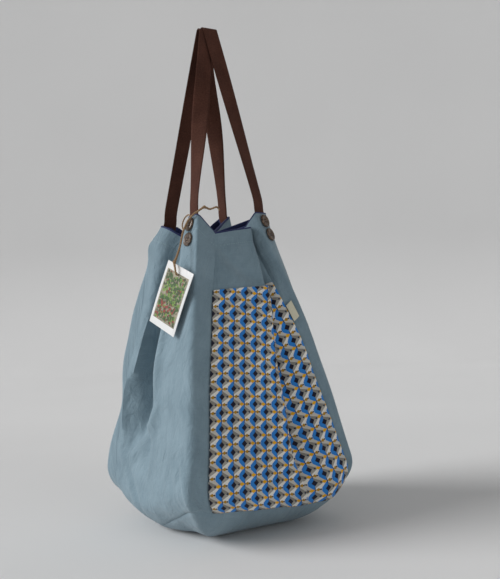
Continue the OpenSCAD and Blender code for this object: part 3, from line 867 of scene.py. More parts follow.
@dataclass(frozen=True)
class Twill:
    """Cotton webbing: slanting ribs that turn at the middle of the tape, and worn lighter ribs.

    Sizes are in millimetres. Real ribs lie about 1 mm apart, too fine for the render, so they
    are drawn coarser.
    """

    name: str
    shade: str
    light: str
    rib: float = 2.0
    rib_h: float = 0.4
    width: float = 25.0
    grain: float = 2.38
    grain_h: float = 0.3
    patch: float = 50.0

    def material(self) -> Material:
        """The finished webbing."""
        mat = new_material(self.name)
        uv = add(mat, "UVMap", {}, uv_map=UV_NAME)
        x = add(mat, "SeparateXYZ", {"Vector": uv})
        fold = add(mat, "Math", {0: x, 1: self.width / 2 * MM}, operation="PINGPONG")
        slant = add(mat, "Math", {0: fold, 1: x.node.outputs[1]}, operation="ADD")
        turn = add(mat, "Math", {0: slant, 1: 2 * math.pi / (self.rib * MM)}, operation="MULTIPLY")
        ribs = add(mat, "Math", {0: turn}, operation="SINE")
        grain = add(mat, "TexNoise", {"Vector": uv, "Scale": scale(self.grain)[0], "Detail": 4.0})
        wash = add(mat, "TexNoise", {"Vector": uv, "Scale": scale(self.patch)[0], "Detail": 3.0})
        mixed = add(mat, "Math", {0: grain, 1: wash}, operation="ADD")
        share = add(mat, "MapRange", {"Value": mixed, 1: 0.7, 2: 1.3, 3: 0.1, 4: 0.9})
        base = add(mat, "Mix", {0: share, 6: tone(self.shade), 7: tone(self.light)}, 2, data_type="RGBA")
        normal = add(mat, "Bump", {"Height": ribs, "Strength": 0.6, "Distance": self.rib_h * MM})
        normal = add(mat, "Bump", {"Height": grain, "Strength": 0.25, "Distance": self.grain_h * MM,
                                   "Normal": normal})
        return close(mat, {"Base Color": base, "Normal": normal, "Roughness": 0.88,
                           "Sheen Weight": 0.02, "Specular IOR Level": 0.12})


@dataclass(frozen=True)
class Streaked:
    """Horn, fibre or paper: streaks whose lengths along x, y and z are grain, in millimetres."""

    name: str
    shade: str
    light: str
    grain: tuple = (3.33, 3.33, 3.33)
    roughness: float = 0.5
    coat: float = 0.0
    bump: float = 0.2
    bump_h: float = 0.3

    def material(self) -> Material:
        """The finished surface."""
        mat = new_material(self.name)
        spot = add(mat, "TexCoord", {}, "Object")
        spot = add(mat, "Mapping", {"Vector": spot, "Scale": scale(*self.grain)})
        noise = add(mat, "TexNoise", {"Vector": spot, "Scale": 1.0, "Detail": 5.0, "Roughness": 0.6})
        share = add(mat, "MapRange", {"Value": noise, 1: 0.35, 2: 0.65, 3: 0.0, 4: 1.0})
        base = add(mat, "Mix", {0: share, 6: tone(self.shade), 7: tone(self.light)}, 2, data_type="RGBA")
        normal = add(mat, "Bump", {"Height": noise, "Strength": self.bump, "Distance": self.bump_h * MM})
        return close(mat, {"Base Color": base, "Normal": normal, "Roughness": self.roughness,
                           "Coat Weight": self.coat, "Specular IOR Level": 0.4})


# Washed linen, plain woven: a dull face with pale worn patches and many small crumples
LINEN = Woven("washed_blue_linen", "#697f8b", "#8399a5", crumple=0.9)
# Cotton calico, piece dyed: an even, deep navy with few crumples
LINING = Woven("navy_cotton_lining", "#1f2a5c", "#34427c", wash=0.2, crumple=0.3)
# Cotton bias tape, pressed: darker and flatter than the lining
BINDING = Woven("navy_bias_binding", "#1a2248", "#2c3868", wash=0.2, crumple=0.1)
# Screen-printed cotton: clear edges over a visible weave
PRINT = LozengePrint("printed_cotton", "#d6d6d6", "#ffffff", slub=0.2, crumple=0.35)
# Woven cotton tape, unbleached: warm and flat
TAPE = Woven("cream_label_tape", "#c9c4ac", "#e2dec9", pitch=1.0, crumple=0.1)
# Cotton twill webbing, dyed: a dark brown that drinks light, with ribs
WEBBING = Twill("brown_twill_webbing", "#3c241d", "#5d3b30")
# Spun polyester thread in three colours: short dull strands
THREAD = Streaked("brown_thread", "#3a2a24", "#5c463a", roughness=0.8)
BLUE_THREAD = Streaked("blue_thread", "#7b929b", "#9fb4bb", roughness=0.8)
NAVY_THREAD = Streaked("navy_thread", "#1c2652", "#2f3c72", roughness=0.8)
# Turned and polished horn: brown clouds, longer across than up, under a soft shine
HORN = Streaked("turned_horn", "#2a1d16", "#66503c", (5.56, 5.56, 2.38), 0.38, coat=0.25, bump=0.35)
# Twisted jute, raw: fine dry fibres, light over dark
JUTE = Streaked("twisted_jute", "#5f4a37", "#a98b68", (1.11, 1.11, 1.11), 0.92, bump=0.6)
# Coated card, pressed: nearly even white with a faint shine
CARD = Streaked("glossy_card", "#d9dada", "#e3e3e2", (16.7, 16.7, 16.7), 0.6, coat=0.08, bump=0.02)
# Ink on the card: soft brown ground and four tints of leaves
GROUND = Streaked("printed_ground", "#6e6a58", "#a39c86", (6.25, 6.25, 6.25), 0.6, coat=0.05, bump=0.0)
LEAVES = tuple(
    Streaked(name, shade, light, (2.0, 2.0, 2.0), 0.6, coat=0.05, bump=0.0)
    for name, shade, light in (("leaf_green", "#27441c", "#456a30"), ("leaf_lime", "#56792e", "#7f9c48"),
                               ("leaf_olive", "#2e3a22", "#4b5433"), ("leaf_rust", "#7a2a26", "#95423a")))


# Sub-assemblies


def place(obj: Piece, mat: Material, body: str, slot: str, *nodes: str) -> None:
    """Gives a piece its finish and its body, and hides the nodes that it stands for."""
    obj.data.materials.append(mat)
    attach(obj, body)
    if nodes:
        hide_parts(*nodes)
    LOG.info("%s on %s, %d faces", obj.name, body, len(obj.data.polygons))


def stitches(name: str, line: Array, long: float, pitch: float, r: float) -> Piece:
    """Row of stitches: the same small spindle set along a line.

    Args:
        name: the piece's name.
        line: points of the line, in millimetres.
        long: length of a stitch.
        pitch: distance from stitch to stitch.
        r: radius of the thread.

    Returns:
        One object with all stitches.
    """
    profile = ((0.0, 0.35), (0.15, 0.9), (0.5, 1.0), (0.85, 0.9), (1.0, 0.35))
    around, count = 6, len(profile)
    s = length_along(line)
    at = np.arange(pitch / 2, s[-1] - long, pitch)
    a, b = (np.stack([np.interp(at + o, s, line[:, i]) for i in range(3)], 1) for o in (0, long))
    way = unit(b - a)
    side = unit(np.cross(way, [0.1, 0.2, 1.0]))
    section = round_section(side, np.cross(way, side), np.arange(around) * 2 * np.pi / around)
    rings = [lerp(a, b, share)[:, None] + fat * r * section for share, fat in profile]
    base = (np.arange(len(at)) * around * count)[:, None]
    body = (base[..., None] + quads(count, around, wrap=True)).reshape(-1, 4)
    last = around * (count - 1)
    caps = np.concatenate([base + np.arange(around)[::-1], base + last + np.arange(around)])
    return build(name, np.stack(rings, 1), [body, caps])


def strand(name: str, pts: Array, fat: Array, r: float) -> tuple[Piece, Array]:
    """Three-ply twine along a smooth curve through points.

    The section is a circle with three grooves that turns along the way, and the curve is a
    cubic spline that passes through every point, parallel there to the line between its
    neighbours.

    Args:
        name: the piece's name.
        pts: points of the route, in millimetres.
        fat: thickness at each point, as a share of r.
        r: radius of the twine.

    Returns:
        The object and the points of its middle line.
    """
    steps, around, ply_turn, groove = 10, 18, 11.0, 0.256
    p = np.concatenate([2 * pts[:1] - pts[1:2], pts, 2 * pts[-1:] - pts[-2:-1]])
    u = (np.arange(steps) / steps)[None, :, None]
    a, b, c, d = p[:-3, None], p[1:-2, None], p[2:-1, None], p[3:, None]
    square, cube = 2 * a - 5 * b + 4 * c - d, 3 * b - a - 3 * c + d
    curve = 0.5 * (2 * b + (c - a) * u + square * u ** 2 + cube * u ** 3)
    curve = np.concatenate([curve.reshape(-1, 3), pts[-1:]])
    width = np.interp(np.arange(len(curve)) / steps, np.arange(len(fat)), fat)
    ahead = unit(np.gradient(curve, axis=0))
    side = unit(np.cross(ahead, [0.3, 1.0, 0.1]))
    g = np.arange(around) * 2 * np.pi / around
    twist = g[None] - (2 * np.pi * length_along(curve) / ply_turn)[:, None]
    reach = (r * width)[:, None] * (1 - groove * (1 - np.abs(np.cos(1.5 * twist))))
    rings = curve[:, None] + reach[..., None] * round_section(side, np.cross(ahead, side), g)
    return bar(name, rings, sharp=70), curve


@dataclass
class Shell:
    """Outer linen, lining, binding and the stitches along the rim."""

    cloth: Cloth
    linen_t: float = 1.2
    lining_in: float = 1.5
    inside: float = 2.2
    stitch: float = 2.6
    stitch_pitch: float = 3.8
    stitch_out: float = 0.25
    thread_r: float = 0.32
    cap_step: float = 1.5

    def build(self) -> None:
        """Builds and dresses every piece of the shell."""
        linen, lining = LINEN.material(), LINING.material()
        for side in Side:
            outer = self.cloth.panel(f"{side.label}_cloth", side, 0, self.linen_t)
            place(outer, linen, "bag", "blue_linen", f"{side.label}_panel")
            inner = self.cloth.panel(f"{side.label}_inner", side, self.lining_in, self.inside)
            place(inner, lining, "bag", "navy_lining", f"{side.label}_lining")
        outer = self.cloth.bottom("base_cloth", 0, self.linen_t)
        place(outer, linen, "bag", "blue_linen", "bottom_panel")
        inner = self.cloth.bottom("base_inner", self.lining_in, self.inside)
        place(inner, lining, "bag", "navy_lining", "bottom_lining")
        self.bind()
        self.topstitch()

    def bind(self) -> None:
        """Folded binding: a rounded cap carried along the rim. Each of the cap's points is how
        far it lies inside the outer face and how high over the rim."""
        cap = ((-0.2, -0.9), (-0.3, -0.3), (-0.25, 0.5), (0.1, 1.1), (0.95, 1.3), (1.8, 1.1),
               (2.4, 0.4), (2.6, -0.8), (2.4, -6.0))
        rings = np.stack([self.cloth.layer(d)[-1] + [0, 0, z] for d, z in cap], 1)[:, ::-1]
        s = np.broadcast_to(self.cloth.along[-1, :-1, None], rings.shape[:2])
        across = np.broadcast_to(np.arange(len(cap)) * self.cap_step, s.shape)
        binding = bar("binding_cloth", rings, np.stack([s, across], -1) * MM, closed=True, sharp=80)
        place(binding, BINDING.material(), "bag", "navy_lining", "rim_binding")

    def topstitch(self) -> None:
        """Row of single stitches below the rim."""
        line = self.cloth.line_at(self.cloth.hem_share, -self.stitch_out)
        row = stitches("rim_stitches", line, self.stitch, self.stitch_pitch, self.thread_r)
        place(row, BLUE_THREAD.material(), "bag", "blue_linen", "rim_topstitch")


@dataclass
class Pocket:
    """Printed patch pocket over the front, its turned hem and the loop label beside it."""

    cloth: Cloth
    out: float = 1.5
    thick: float = 1.0
    hem_out: float = 1.2
    hem_in: float = 0.3
    label_drop: float = 38.0
    label_l: float = 24.0
    label_out: float = 12.0
    label_share: float = 0.5
    label_t: float = 0.9
    label_lift: float = 1.4
    label_belly: float = 1.6

    def build(self) -> None:
        """Builds and dresses the pocket's pieces."""
        c = self.cloth
        fabric = PRINT.material()
        front = c.panel("pocket_cloth", Side.FRONT, -self.out - self.thick, -self.out, c.pocket_top)
        place(front, fabric, "bag", "printed_cotton", "front_pocket")
        hem = c.panel("pocket_turned_hem", Side.FRONT, -self.hem_out, -self.hem_in, c.pocket_top,
                      c.pocket_fold)
        place(hem, fabric, "bag", "printed_cotton", "pocket_hem")
        place(self.label(), TAPE.material(), "bag", "label_tape", "loop_label")

    def label(self) -> Piece:
        """Folded loop of tape: it stands out of the seam and bellies by a power of a sine."""
        f = self.cloth.form
        rows, cols = 22, 14
        low, high = ((self.cloth.pocket_h - drop) / f.wall_h for drop in (self.label_drop + self.label_l,
                                                                          self.label_drop))
        t = np.linspace(low, high, rows)
        shares = np.linspace(0.02, self.label_share, cols)
        p = np.stack([f.beside(t, Side.RIGHT.first, np.full(rows, x), 0.0)[0] for x in shares], 1)
        out = unit(np.cross(np.gradient(p, axis=1), np.gradient(p, axis=0)))
        u = np.linspace(0, 1, cols)
        lift = (self.label_lift + self.label_belly * np.sin(np.pi * u) ** 1.5)[:, None]
        uv = np.stack(np.meshgrid(u * self.label_out, np.linspace(0, self.label_l, rows)), -1) * MM
        return sheet("label_loop", p + out * (lift + self.label_t), p + out * lift, uv)


@dataclass(frozen=True)
class SewnEnd:
    """Where a strap's end is sewn in: the knot before it, and its shares of that side at the
    rim and at the strap's lower edge."""

    knot: int
    at_rim: float
    at_end: float


@dataclass
class Strap:
    """One handle of webbing with both its sewn ends, in one length."""

    cloth: Cloth
    name: str
    front: SewnEnd
    back: SewnEnd
    top_x: float
    bend_r: float
    aside: float
    width: float = 25.0
    thick: float = 1.8
    edge_r: float = 0.6
    strap_in: float = 3.1
    sewn: float = 50.0
    bend_h: float = 18.0
    bend_half: float = 15.0
    handle_h: float = 294.0
    outer_r: float = 6.0
    sewn_rows: int = 16
    neck_rows: int = 6
    leg_rows: int = 90
    top_rows: int = 13
    flat_cols: int = 9
    soft_rows: int = 36
    soft_passes: int = 12

    def leg(self, end: SewnEnd, top: Array, goal: float, aside: float) -> tuple[Array, Array]:
        """From the sewn end up to the top bend.

        Args:
            end: where it is sewn in.
            top: where the leg meets the top bend.
            goal: direction of the tape's width there, in degrees.
            aside: how far it bows to the back on its way, as a share of 12 mm times v ** 4 * (1 - v).

        Returns:
            Middle line, and the level direction of the tape's width at each point.
        """
        f = self.cloth.form
        t = np.linspace(1 - self.sewn / f.wall_h, 1, self.sewn_rows)
        share = lerp(end.at_rim, end.at_end, (1 - t) * f.wall_h / self.sewn)
        low, way = f.beside(t, end.knot, share, self.strap_in + self.thick / 2)
        way = unit(way * [1, 1, 0])
        foot = low[-1] + [0, 0, self.bend_h]
        neck = lerp(low[-1], foot, np.linspace(0, 1, self.neck_rows + 2)[1:-1, None])
        v = np.linspace(0, 1, self.leg_rows)
        rise = lerp(foot, top, v[:, None]) + point(0, aside * 12 * v ** 4 * (1 - v), 0)
        start = math.atan2(way[-1, 1], way[-1, 0])
        swing = math.radians(goal) - start
        swing -= 2 * math.pi * round(swing / (2 * math.pi))
        g = start + swing * ease(v, 0, 0.85)
        centre = np.concatenate([low, neck, rise])
        along = np.concatenate([way, np.repeat(way[-1:], self.neck_rows, 0), point(np.cos(g), np.sin(g), 0)])
        n = self.soft_rows
        for _ in range(self.soft_passes):
            centre[1:n] = (centre[:n - 1] + 2 * centre[1:n] + centre[2:n + 1]) / 4
        return centre, unit(along)

    def path(self) -> tuple[Array, Array, Array]:
        """Middle line over both legs and the top bend, with its way across and its way out."""
        axle = np.array([self.top_x, 0, self.cloth.form.rim_h + self.handle_h - self.outer_r - self.thick])
        mid = self.bend_r + self.thick / 2
        up, up_way = self.leg(self.front, axle - [0, mid, 0], 0, 0)
        down, down_way = self.leg(self.back, axle + [0, mid, 0], 180, self.aside)
        g = np.linspace(0, np.pi, self.top_rows + 2)[1:-1]
        bend_out = point(0, -np.cos(g), np.sin(g))
        centre = np.concatenate([up, axle + bend_out * mid, down[::-1]])
        along = np.concatenate([up_way, np.repeat([[1.0, 0, 0]], self.top_rows, 0), -down_way[::-1]])
        ahead = unit(np.gradient(centre, axis=0))
        out = point(along[:, 1], -along[:, 0], 0)
        start, stop = len(up), len(up) + self.top_rows
        out[start:stop] = bend_out
        out[stop:] = -out[stop:]
        out = unit(out - (out * ahead).sum(-1, keepdims=True) * ahead)
        across = unit(np.cross(out, ahead))
        return centre, across * np.sign((across * along).sum(-1, keepdims=True)), out

    def build(self) -> None:
        """Builds the webbing: a flat section with rounded edges carried up, over and down."""
        centre, along, out = self.path()
        w, h, n = self.width / 2, self.thick / 2, self.flat_cols
        flat = np.linspace(-w + self.edge_r, w - self.edge_r, n)
        across = np.concatenate([flat, [w], flat[::-1], [-w]])
        depth = np.concatenate([np.full(n, h), [0.0], np.full(n, -h), [0.0]])
        rings = centre[:, None] + across[None, :, None] * along[:, None] + depth[None, :, None] * out[:, None]
        turn = np.cross(rings[0, 1] - rings[0, 0], rings[0, n + 1] - rings[0, 0]) @ (centre[1] - centre[0])
        if turn < 0:
            rings, across = rings[:, ::-1], across[::-1]
        s = length_along(centre)
        uv = np.stack(np.broadcast_arrays(across[None] + w, s[:, None]), -1) * MM
        obj = bar(f"webbing_{self.name}", rings, uv, sharp=60)
        obj.data.materials.append(WEBBING.material())
        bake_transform(obj)
        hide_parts(f"handle_{self.name}", f"strap_end_front_{self.name}", f"strap_end_back_{self.name}")
        LOG.info("%s, %.0f mm of webbing", obj.name, s[-1])


@dataclass
class Fastenings:
    """Buttons, their threads and the tacks, which keep the frame's own shapes."""

    nodes: dict

    def build(self) -> None:
        """Gives the frame's nodes their finishes."""
        horn, thread, navy = HORN.material(), THREAD.material(), NAVY_THREAD.material()
        for name, obj in self.nodes.items():
            if name.startswith("button_"):
                self.dress(obj, thread if name == "button_threads" else horn)
        self.dress(self.nodes["strap_tacks"], navy)

    def dress(self, obj: Piece, mat: Material) -> None:
        """Puts a finish into every material slot of a node."""
        if not obj.material_slots:
            obj.data.materials.append(mat)
        for slot in obj.material_slots:
            slot.material = mat
        LOG.info("%s dressed with %s", obj.name, mat.name)


@dataclass
class HangTag:
    """Card on a length of jute twine, with a printed picture of leaves."""

    mid: tuple = (-109.0, -50.0, 343.0)
    face: float = 191.0
    tilt: float = 8.0
    lean: float = -22.0
    w: float = 62.0
    h: float = 94.0
    thick: float = 0.9
    bow: float = 0.9
    border: float = 5.0
    end_border: float = 10.0
    hole_down: float = 12.0
    hole_r: float = 1.8
    picture_low: float = 0.05
    picture_high: float = 0.2
    picture_hole: float = 0.5
    leaf_count: int = 420
    leaf_least: float = 3.0
    leaf_most: float = 6.5
    leaf_w: float = 0.34
    leaf_in: float = 3.0
    leaf_edge: float = 0.3
    leaf_clear: float = 5.5
    leaf_level: float = 0.24
    leaf_step: float = 0.0006
    bed_y: float = -8.0
    twine_d: float = 3.0
    hook_share: float = 0.7

    def axes(self) -> tuple[Array, Array, Array]:
        """Directions of the card: to its side, up along it and out of its face."""
        f, t, s = (math.radians(a) for a in (self.face, self.tilt, self.lean))
        out = np.array([math.cos(f) * math.cos(t), math.sin(f) * math.cos(t), math.sin(t)])
        side = np.array([-math.sin(f), math.cos(f), 0])
        up = math.cos(s) * np.cross(out, side) - math.sin(s) * side
        return np.cross(up, out), up, out

    def at(self, x: Array, y: Array, z: Array) -> Array:
        """Places flat points of the card, which bows by a sine along its height."""
        side, up, out = self.axes()
        x, y, z = np.broadcast_arrays(x, y, z)
        z = z + self.bow * np.sin(np.pi * (y / self.h + 0.5)) - self.bow
        return np.asarray(self.mid) + x[..., None] * side + y[..., None] * up + z[..., None] * out

    def build(self) -> None:
        """Builds card, picture, leaves and twine."""
        card = self.plate("tag_sheet", self.w, self.h, -self.thick, 0.0, self.hole_r)
        place(card, CARD.material(), "tag", "card", "tag_card")
        wide, high = self.w - 2 * self.border, self.h - 2 * self.end_border
        picture = self.plate("tag_print", wide, high, self.picture_low, self.picture_high,
                             self.hole_r + self.picture_hole)
        place(picture, GROUND.material(), "tag", "card_print", "tag_picture")
        self.leaves(wide / 2, high / 2)
        self.twine()

    def plate(self, name: str, w: float, h: float, low: float, high: float, hole: float) -> Piece:
        """Plate with a hole: rings of points that run from the hole's edge to the plate's edge.

        Args:
            name: the piece's name.
            w: its width.
            h: its height.
            low: level of its back.
            high: level of its face.
            hole: radius of the hole.

        Returns:
            The plate.
        """
        around, rows = 96, 14
        hy = self.h / 2 - self.hole_down
        above, below = h / 2 - hy, h / 2 + hy
        g = np.arange(around) * 2 * np.pi / around
        corners = np.arctan2([above, above, -below, -below], [w / 2, -w / 2, -w / 2, w / 2])
        for a in corners % (2 * np.pi):
            g[np.argmin(np.abs(g - a))] = a
        dx, dy = np.cos(g), np.sin(g)
        reach = np.minimum(w / 2 / np.maximum(np.abs(dx), 1e-6),
                           np.where(dy > 0, above, below) / np.maximum(np.abs(dy), 1e-6))
        r = hole + (reach - hole) * (np.linspace(0, 1, rows)[:, None] ** 1.3)
        x, y = r * dx, hy + r * dy
        rings = np.concatenate([self.at(x, y, high), self.at(x, y, low)[::-1]])
        return bar(name, rings[:, ::-1], closed=True, sharp=40)

    def leaves(self, w: float, h: float) -> None:
        """Scattered leaves inside a half width and half height.

        A leaf is a pointed oval, a sine of its length to each side, with one of four tints,
        more often the rusty one in the bed at the bottom.
        """
        rng = np.random.default_rng(7)
        n = self.leaf_count
        x = rng.uniform(-w + self.leaf_in, w - self.leaf_in, n)
        y = rng.uniform(-h + self.leaf_in, h - self.leaf_in, n)
        size = rng.uniform(self.leaf_least, self.leaf_most, n)[:, None]
        turn = rng.uniform(0, 2 * np.pi, n)[:, None]
        s = np.linspace(0, 1, 7)
        wide = self.leaf_w * np.sin(np.pi * s ** 0.85)
        ox = np.concatenate([s, s[-2:0:-1]]) - 0.5
        oy = np.concatenate([wide, -wide[-2:0:-1]])
        c, q = np.cos(turn), np.sin(turn)
        right, top = w - self.leaf_edge, h - self.leaf_edge
        px = np.clip(x[:, None] + size * (ox * c - oy * q), -right, right)
        py = np.clip(y[:, None] + size * (ox * q + oy * c), -top, top)
        clear = np.hypot(x, y - (self.h / 2 - self.hole_down)) > self.leaf_clear
        px, py, y = px[clear], py[clear], y[clear]
        level = (self.leaf_level + self.leaf_step * np.arange(len(px)))[:, None]
        faces = np.arange(px.size).reshape(px.shape)[:, ::-1]
        obj = build("tag_leaves", self.at(px, py, level), [faces])
        for leaf in LEAVES:
            obj.data.materials.append(leaf.material())
        below = rng.choice(4, len(y), p=(0.3, 0.1, 0.35, 0.25))
        above = rng.choice(4, len(y), p=(0.45, 0.3, 0.22, 0.03))
        tint = np.where(y < self.bed_y, below, above)
        obj.data.polygons.foreach_set("material_index", tint.astype(np.int32))
        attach(obj, "tag")
        LOG.info("%s on tag, %d leaves", obj.name, len(y))

    def route(self) -> tuple[Array, Array]:
        """Twine's points from behind the hole over the button to its free end, and its
        thickness at each as a share of the twine's."""
        _, up, out = self.axes()
        hole = np.asarray(self.mid) + (self.h / 2 - self.hole_down) * up
        pts = [hole - 4 * out, hole + 2 * out, hole + 3.6 * out + [0, 0, 3], (-105.5, -61, 385),
               (-105, -59, 390), (-104, -57.5, 394), (-101, -57, 398.5), (-91, -52, 416), (-83, -47, 435),
               (-71.7, -40.3, 450.5), (-68.5, -53, 461), (-62, -57, 466), (-56, -59.5, 470),
               (-53, -60, 471.5), (-50, -61, 470.5), (-45, -63, 468.5), (-38, -67, 471), (-35, -68, 470),
               (-33.5, -69, 466)]
        fat = [1, 1, 1, 1, 1.2, 1.8, 1.2, 1, 1, 1, 1, 1, 1.1, 1.8, 1.1, 1, 1, 0.9, 0.6]
        return np.array(pts, float), np.array(fat, float)

    def twine(self) -> None:
        """Two lengths of three-ply twine: the tie with its knots and the hook behind the button."""
        mat = JUTE.material()
        obj, path = strand("jute_tie", *self.route(), self.twine_d / 2)
        place(obj, mat, "bag", "jute_twine", "twine")
        hook = np.array([(-78.8, -42.9, 439.3), (-76, -35.5, 442), (-74, -30.2, 447.5), (-72.5, -30.5, 453.5),
                         (-70.5, -34.5, 459.5), (-69, -41, 462), (-69, -47.5, 460.2)])
        loop, _ = strand("jute_hook", hook, np.full(len(hook), self.hook_share), self.twine_d / 2)
        place(loop, mat, "bag", "jute_twine", "twine_loop")


# Camera, floor and light


@dataclass(frozen=True)
class Lamp:
    """A distant soft lamp, in metres: where it shines from, its strength and its width in radians."""

    name: str
    spot: tuple
    strength: float
    angle: float
    aim: tuple = (0.0, 0.0, 0.3)

    def build(self) -> None:
        """Makes the lamp, which looks at its aim."""
        data = bpy.data.lights.new(self.name, "SUN")
        data.energy, data.angle = self.strength, self.angle
        lamp = bpy.data.objects.new(self.name, data)
        bpy.context.scene.collection.objects.link(lamp)
        back = unit(np.array(self.spot) - self.aim)
        right = unit(np.cross([0, 0, 1.0], back))
        lamp.matrix_world = stand(right, np.cross(back, right), back, self.spot)


def stand(x: Array, y: Array, z: Array, spot: tuple) -> Matrix:
    """Matrix of a camera or lamp from its three directions and its place."""
    m = np.eye(4)
    m[:3, 0], m[:3, 1], m[:3, 2], m[:3, 3] = x, y, z, spot
    return Matrix(m.tolist())


@dataclass(frozen=True)
class Studio:
    """Camera, plain pale floor with a curved backdrop, and plain soft light, in metres."""

    spot: tuple = (-0.6337, -1.0517, 0.350)
    look: float = 33.37
    roll: float = -2.56
    focal_px: float = 796.6
    frame_w: int = 500
    sensor_w: float = 36.0
    shade: str = "#dddddd"
    light: str = "#e6e6e6"
    patch: float = 1.2
    bend_r: float = 0.6
    near: float = -7.0
    far: float = 2.2
    top: float = 4.0
    half_w: float = 8.0
    world: float = 0.29
    lamps: tuple = (Lamp("key", (-2.0, 0.95, 1.35), 2.75, 0.62),
                    Lamp("low_fill", (0.35, -2.3, 0.6), 0.5, 0.7))

    def camera(self) -> None:
        """Camera at the photograph's viewing angle."""
        psi, roll = math.radians(self.look), math.radians(self.roll)
        look = np.array([math.sin(psi), math.cos(psi), 0])
        right, up = np.array([look[1], -look[0], 0]), np.array([0, 0, 1.0])
        data = bpy.data.cameras.new("camera")
        data.sensor_fit = "HORIZONTAL"
        data.sensor_width = self.sensor_w
        data.lens = self.focal_px / self.frame_w * self.sensor_w
        data.clip_start, data.clip_end = 0.01, 50
        cam = bpy.data.objects.new("camera", data)
        bpy.context.scene.collection.objects.link(cam)
        cam.matrix_world = stand(right * math.cos(roll) + up * math.sin(roll),
                                 -right * math.sin(roll) + up * math.cos(roll), -look, self.spot)
        bpy.context.scene.camera = cam

    def stage(self) -> None:
        """Floor that curves up into a backdrop by a quarter circle, square to the camera."""
        g = np.linspace(0, np.pi / 2, 24)
        y = np.concatenate([[self.near], self.far + self.bend_r * np.sin(g), [self.far + self.bend_r]])
        z = np.concatenate([[0], self.bend_r - self.bend_r * np.cos(g), [self.top]])
        psi = math.radians(self.look)
        x, y = np.array([[-self.half_w, self.half_w]]), y[:, None]
        grid = point(y * math.sin(psi) + x * math.cos(psi), y * math.cos(psi) - x * math.sin(psi), z[:, None])
        obj = build("floor", grid / MM, [quads(len(z), 2, flip=True)])
        mat = new_material("painted_backdrop")
        spot = add(mat, "TexCoord", {}, "Object")
        noise = add(mat, "TexNoise", {"Vector": spot, "Scale": self.patch, "Detail": 2.0})
        base = add(mat, "Mix", {0: noise, 6: tone(self.shade), 7: tone(self.light)}, 2, data_type="RGBA")
        close(mat, {"Base Color": base, "Roughness": 0.95, "Specular IOR Level": 0.1})
        obj.data.materials.append(mat)

    def build(self) -> None:
        """Makes the camera, the stage, a wide soft key from the left, a weak low fill from the
        front and an even world."""
        self.camera()
        self.stage()
        for lamp in self.lamps:
            lamp.build()
        world = bpy.data.worlds.new("world")
        world.use_nodes = True
        background = world.node_tree.nodes["Background"]
        background.inputs["Color"].default_value = (1, 1, 1, 1)
        background.inputs["Strength"].default_value = self.world
        bpy.context.scene.world = world
        bpy.context.scene.view_settings.view_transform = "Standard"


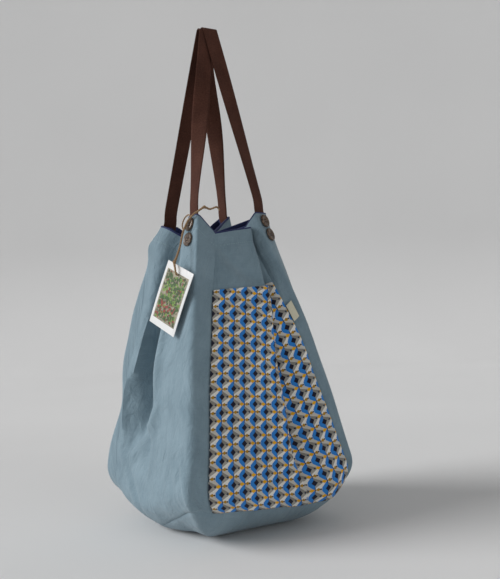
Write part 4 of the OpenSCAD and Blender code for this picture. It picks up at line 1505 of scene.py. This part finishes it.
# Ridges, and valleys (below 0), that gravity and the gathers press into the cloth
CREASES = (
    # The left wall's long fold: its back edge, its trough, its front edge and its closing lip
    Crease(((-82, 48, 375), (-95, 57, 305), (-106, 67, 255), (-116, 85, 201), (-122, 92, 148),
            (-128, 88, 100)), 9, 6),
    Crease(((-58, 22, 430), (-72, 32, 355), (-88, 42, 294), (-100, 48, 245), (-107, 45, 205), (-112, 45, 178),
            (-117, 55, 155), (-122, 72, 128)), 16, -19),
    Crease(((-74, -40, 415), (-90, -22, 345), (-102, -12, 295), (-112, -8, 232), (-118, -8, 180)), 10, 7),
    Crease(((-118, -20, 188), (-121, -4, 160), (-123, 26, 134), (-128, 76, 100)), 10, 9),
    # The fold's lower end, where it is deepest
    Crease(((-106, 68, 262), (-116, 85, 201), (-122, 91, 158), (-127, 86, 112)), 7, 5),
    Crease(((-96, 44, 270), (-105, 44, 220), (-112, 45, 182), (-119, 54, 146)), 9, -9),
    # From the fold's lower end to the base
    Crease(((-126, 88, 120), (-134, 60, 82), (-137, 27, 51), (-122, 18, 19)), 5, -3),
    Crease(((-128, 100, 120), (-138, 74, 82), (-140, 42, 51), (-124, 30, 19)), 7, 3),
    # Drag lines of the front-left corner
    Crease(((-132, -98, 134), (-138, -118, 108), (-136, -127, 80), (-128, -122, 56)), 6, 4.5),
    Crease(((-124, -122, 132), (-130, -134, 105), (-128, -139, 80), (-118, -134, 56)), 7, -5),
    Crease(((-134, -60, 120), (-139, -84, 90), (-134, -100, 50)), 8, -2.5),
    Crease(((-112, -60, 250), (-118, -88, 233), (-116, -116, 215)), 4, -1.2),
    Crease(((-118, -66, 226), (-122, -92, 209), (-120, -118, 195)), 4, -1.2),
    Crease(((-92, -88, 322), (-100, -104, 262), (-112, -118, 202), (-124, -128, 150)), 9, -1.8),
    # Drape over the pocket's mouth and beside the front pleat
    Crease(((33, -66, 408), (33, -74, 388), (36, -84, 360), (40, -94, 330)), 9, 5),
    Crease(((-34, -60, 420), (-14, -68, 392), (10, -76, 372), (26, -82, 365)), 8, -5),
    Crease(((-40, -74, 392), (-16, -82, 366), (8, -88, 350), (24, -90, 345)), 8, 4),
    Crease(((-44, -82, 352), (-20, -88, 332), (6, -94, 324)), 7, -3),
    # Right wall
    Crease(((50, -70, 420), (66, -86, 350), (86, -108, 260), (108, -128, 170)), 8, -2.5),
    Crease(((140, -90, 120), (146, -60, 80), (132, -40, 40)), 8, -3),
    # Back wall
    Crease(((10, 96, 330), (26, 116, 230), (40, 132, 140)), 10, -4),
    Crease(((-40, 100, 330), (-56, 118, 240), (-76, 136, 130)), 10, -3),
)

RIPPLES = (
    Ripple((0.11, 0.07, 0.012), 0.4, 0.55),
    Ripple((-0.06, 0.13, 0.02), 1.9, 0.45),
    Ripple((0.05, -0.04, 0.05), 0.7, 0.5),
    Ripple((0.09, 0.1, -0.06), 2.8, 0.3),
    Ripple((0.2, -0.17, 0.03), 4.1, 0.2),
)


def main() -> None:
    """Builds the studio, the tag with its twine, and every piece of the bag over the frame."""
    logging.basicConfig(level=logging.INFO, format="%(message)s")
    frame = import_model()
    Studio().build()
    HangTag().build()
    cloth = Cloth(BagForm(), CREASES, RIPPLES)
    Shell(cloth).build()
    Pocket(cloth).build()
    Strap(cloth, "left", SewnEnd(19, 0.46, 0.58), SewnEnd(15, 0.5, 0.38), -3.0, 3.6, 0.0).build()
    Strap(cloth, "right", SewnEnd(5, 0.5, 0.5), SewnEnd(9, 0.5, 0.5), 3.0, 6.0, 7.0).build()
    Fastenings(frame["nodes"]).build()


if __name__ == "__main__":
    main()
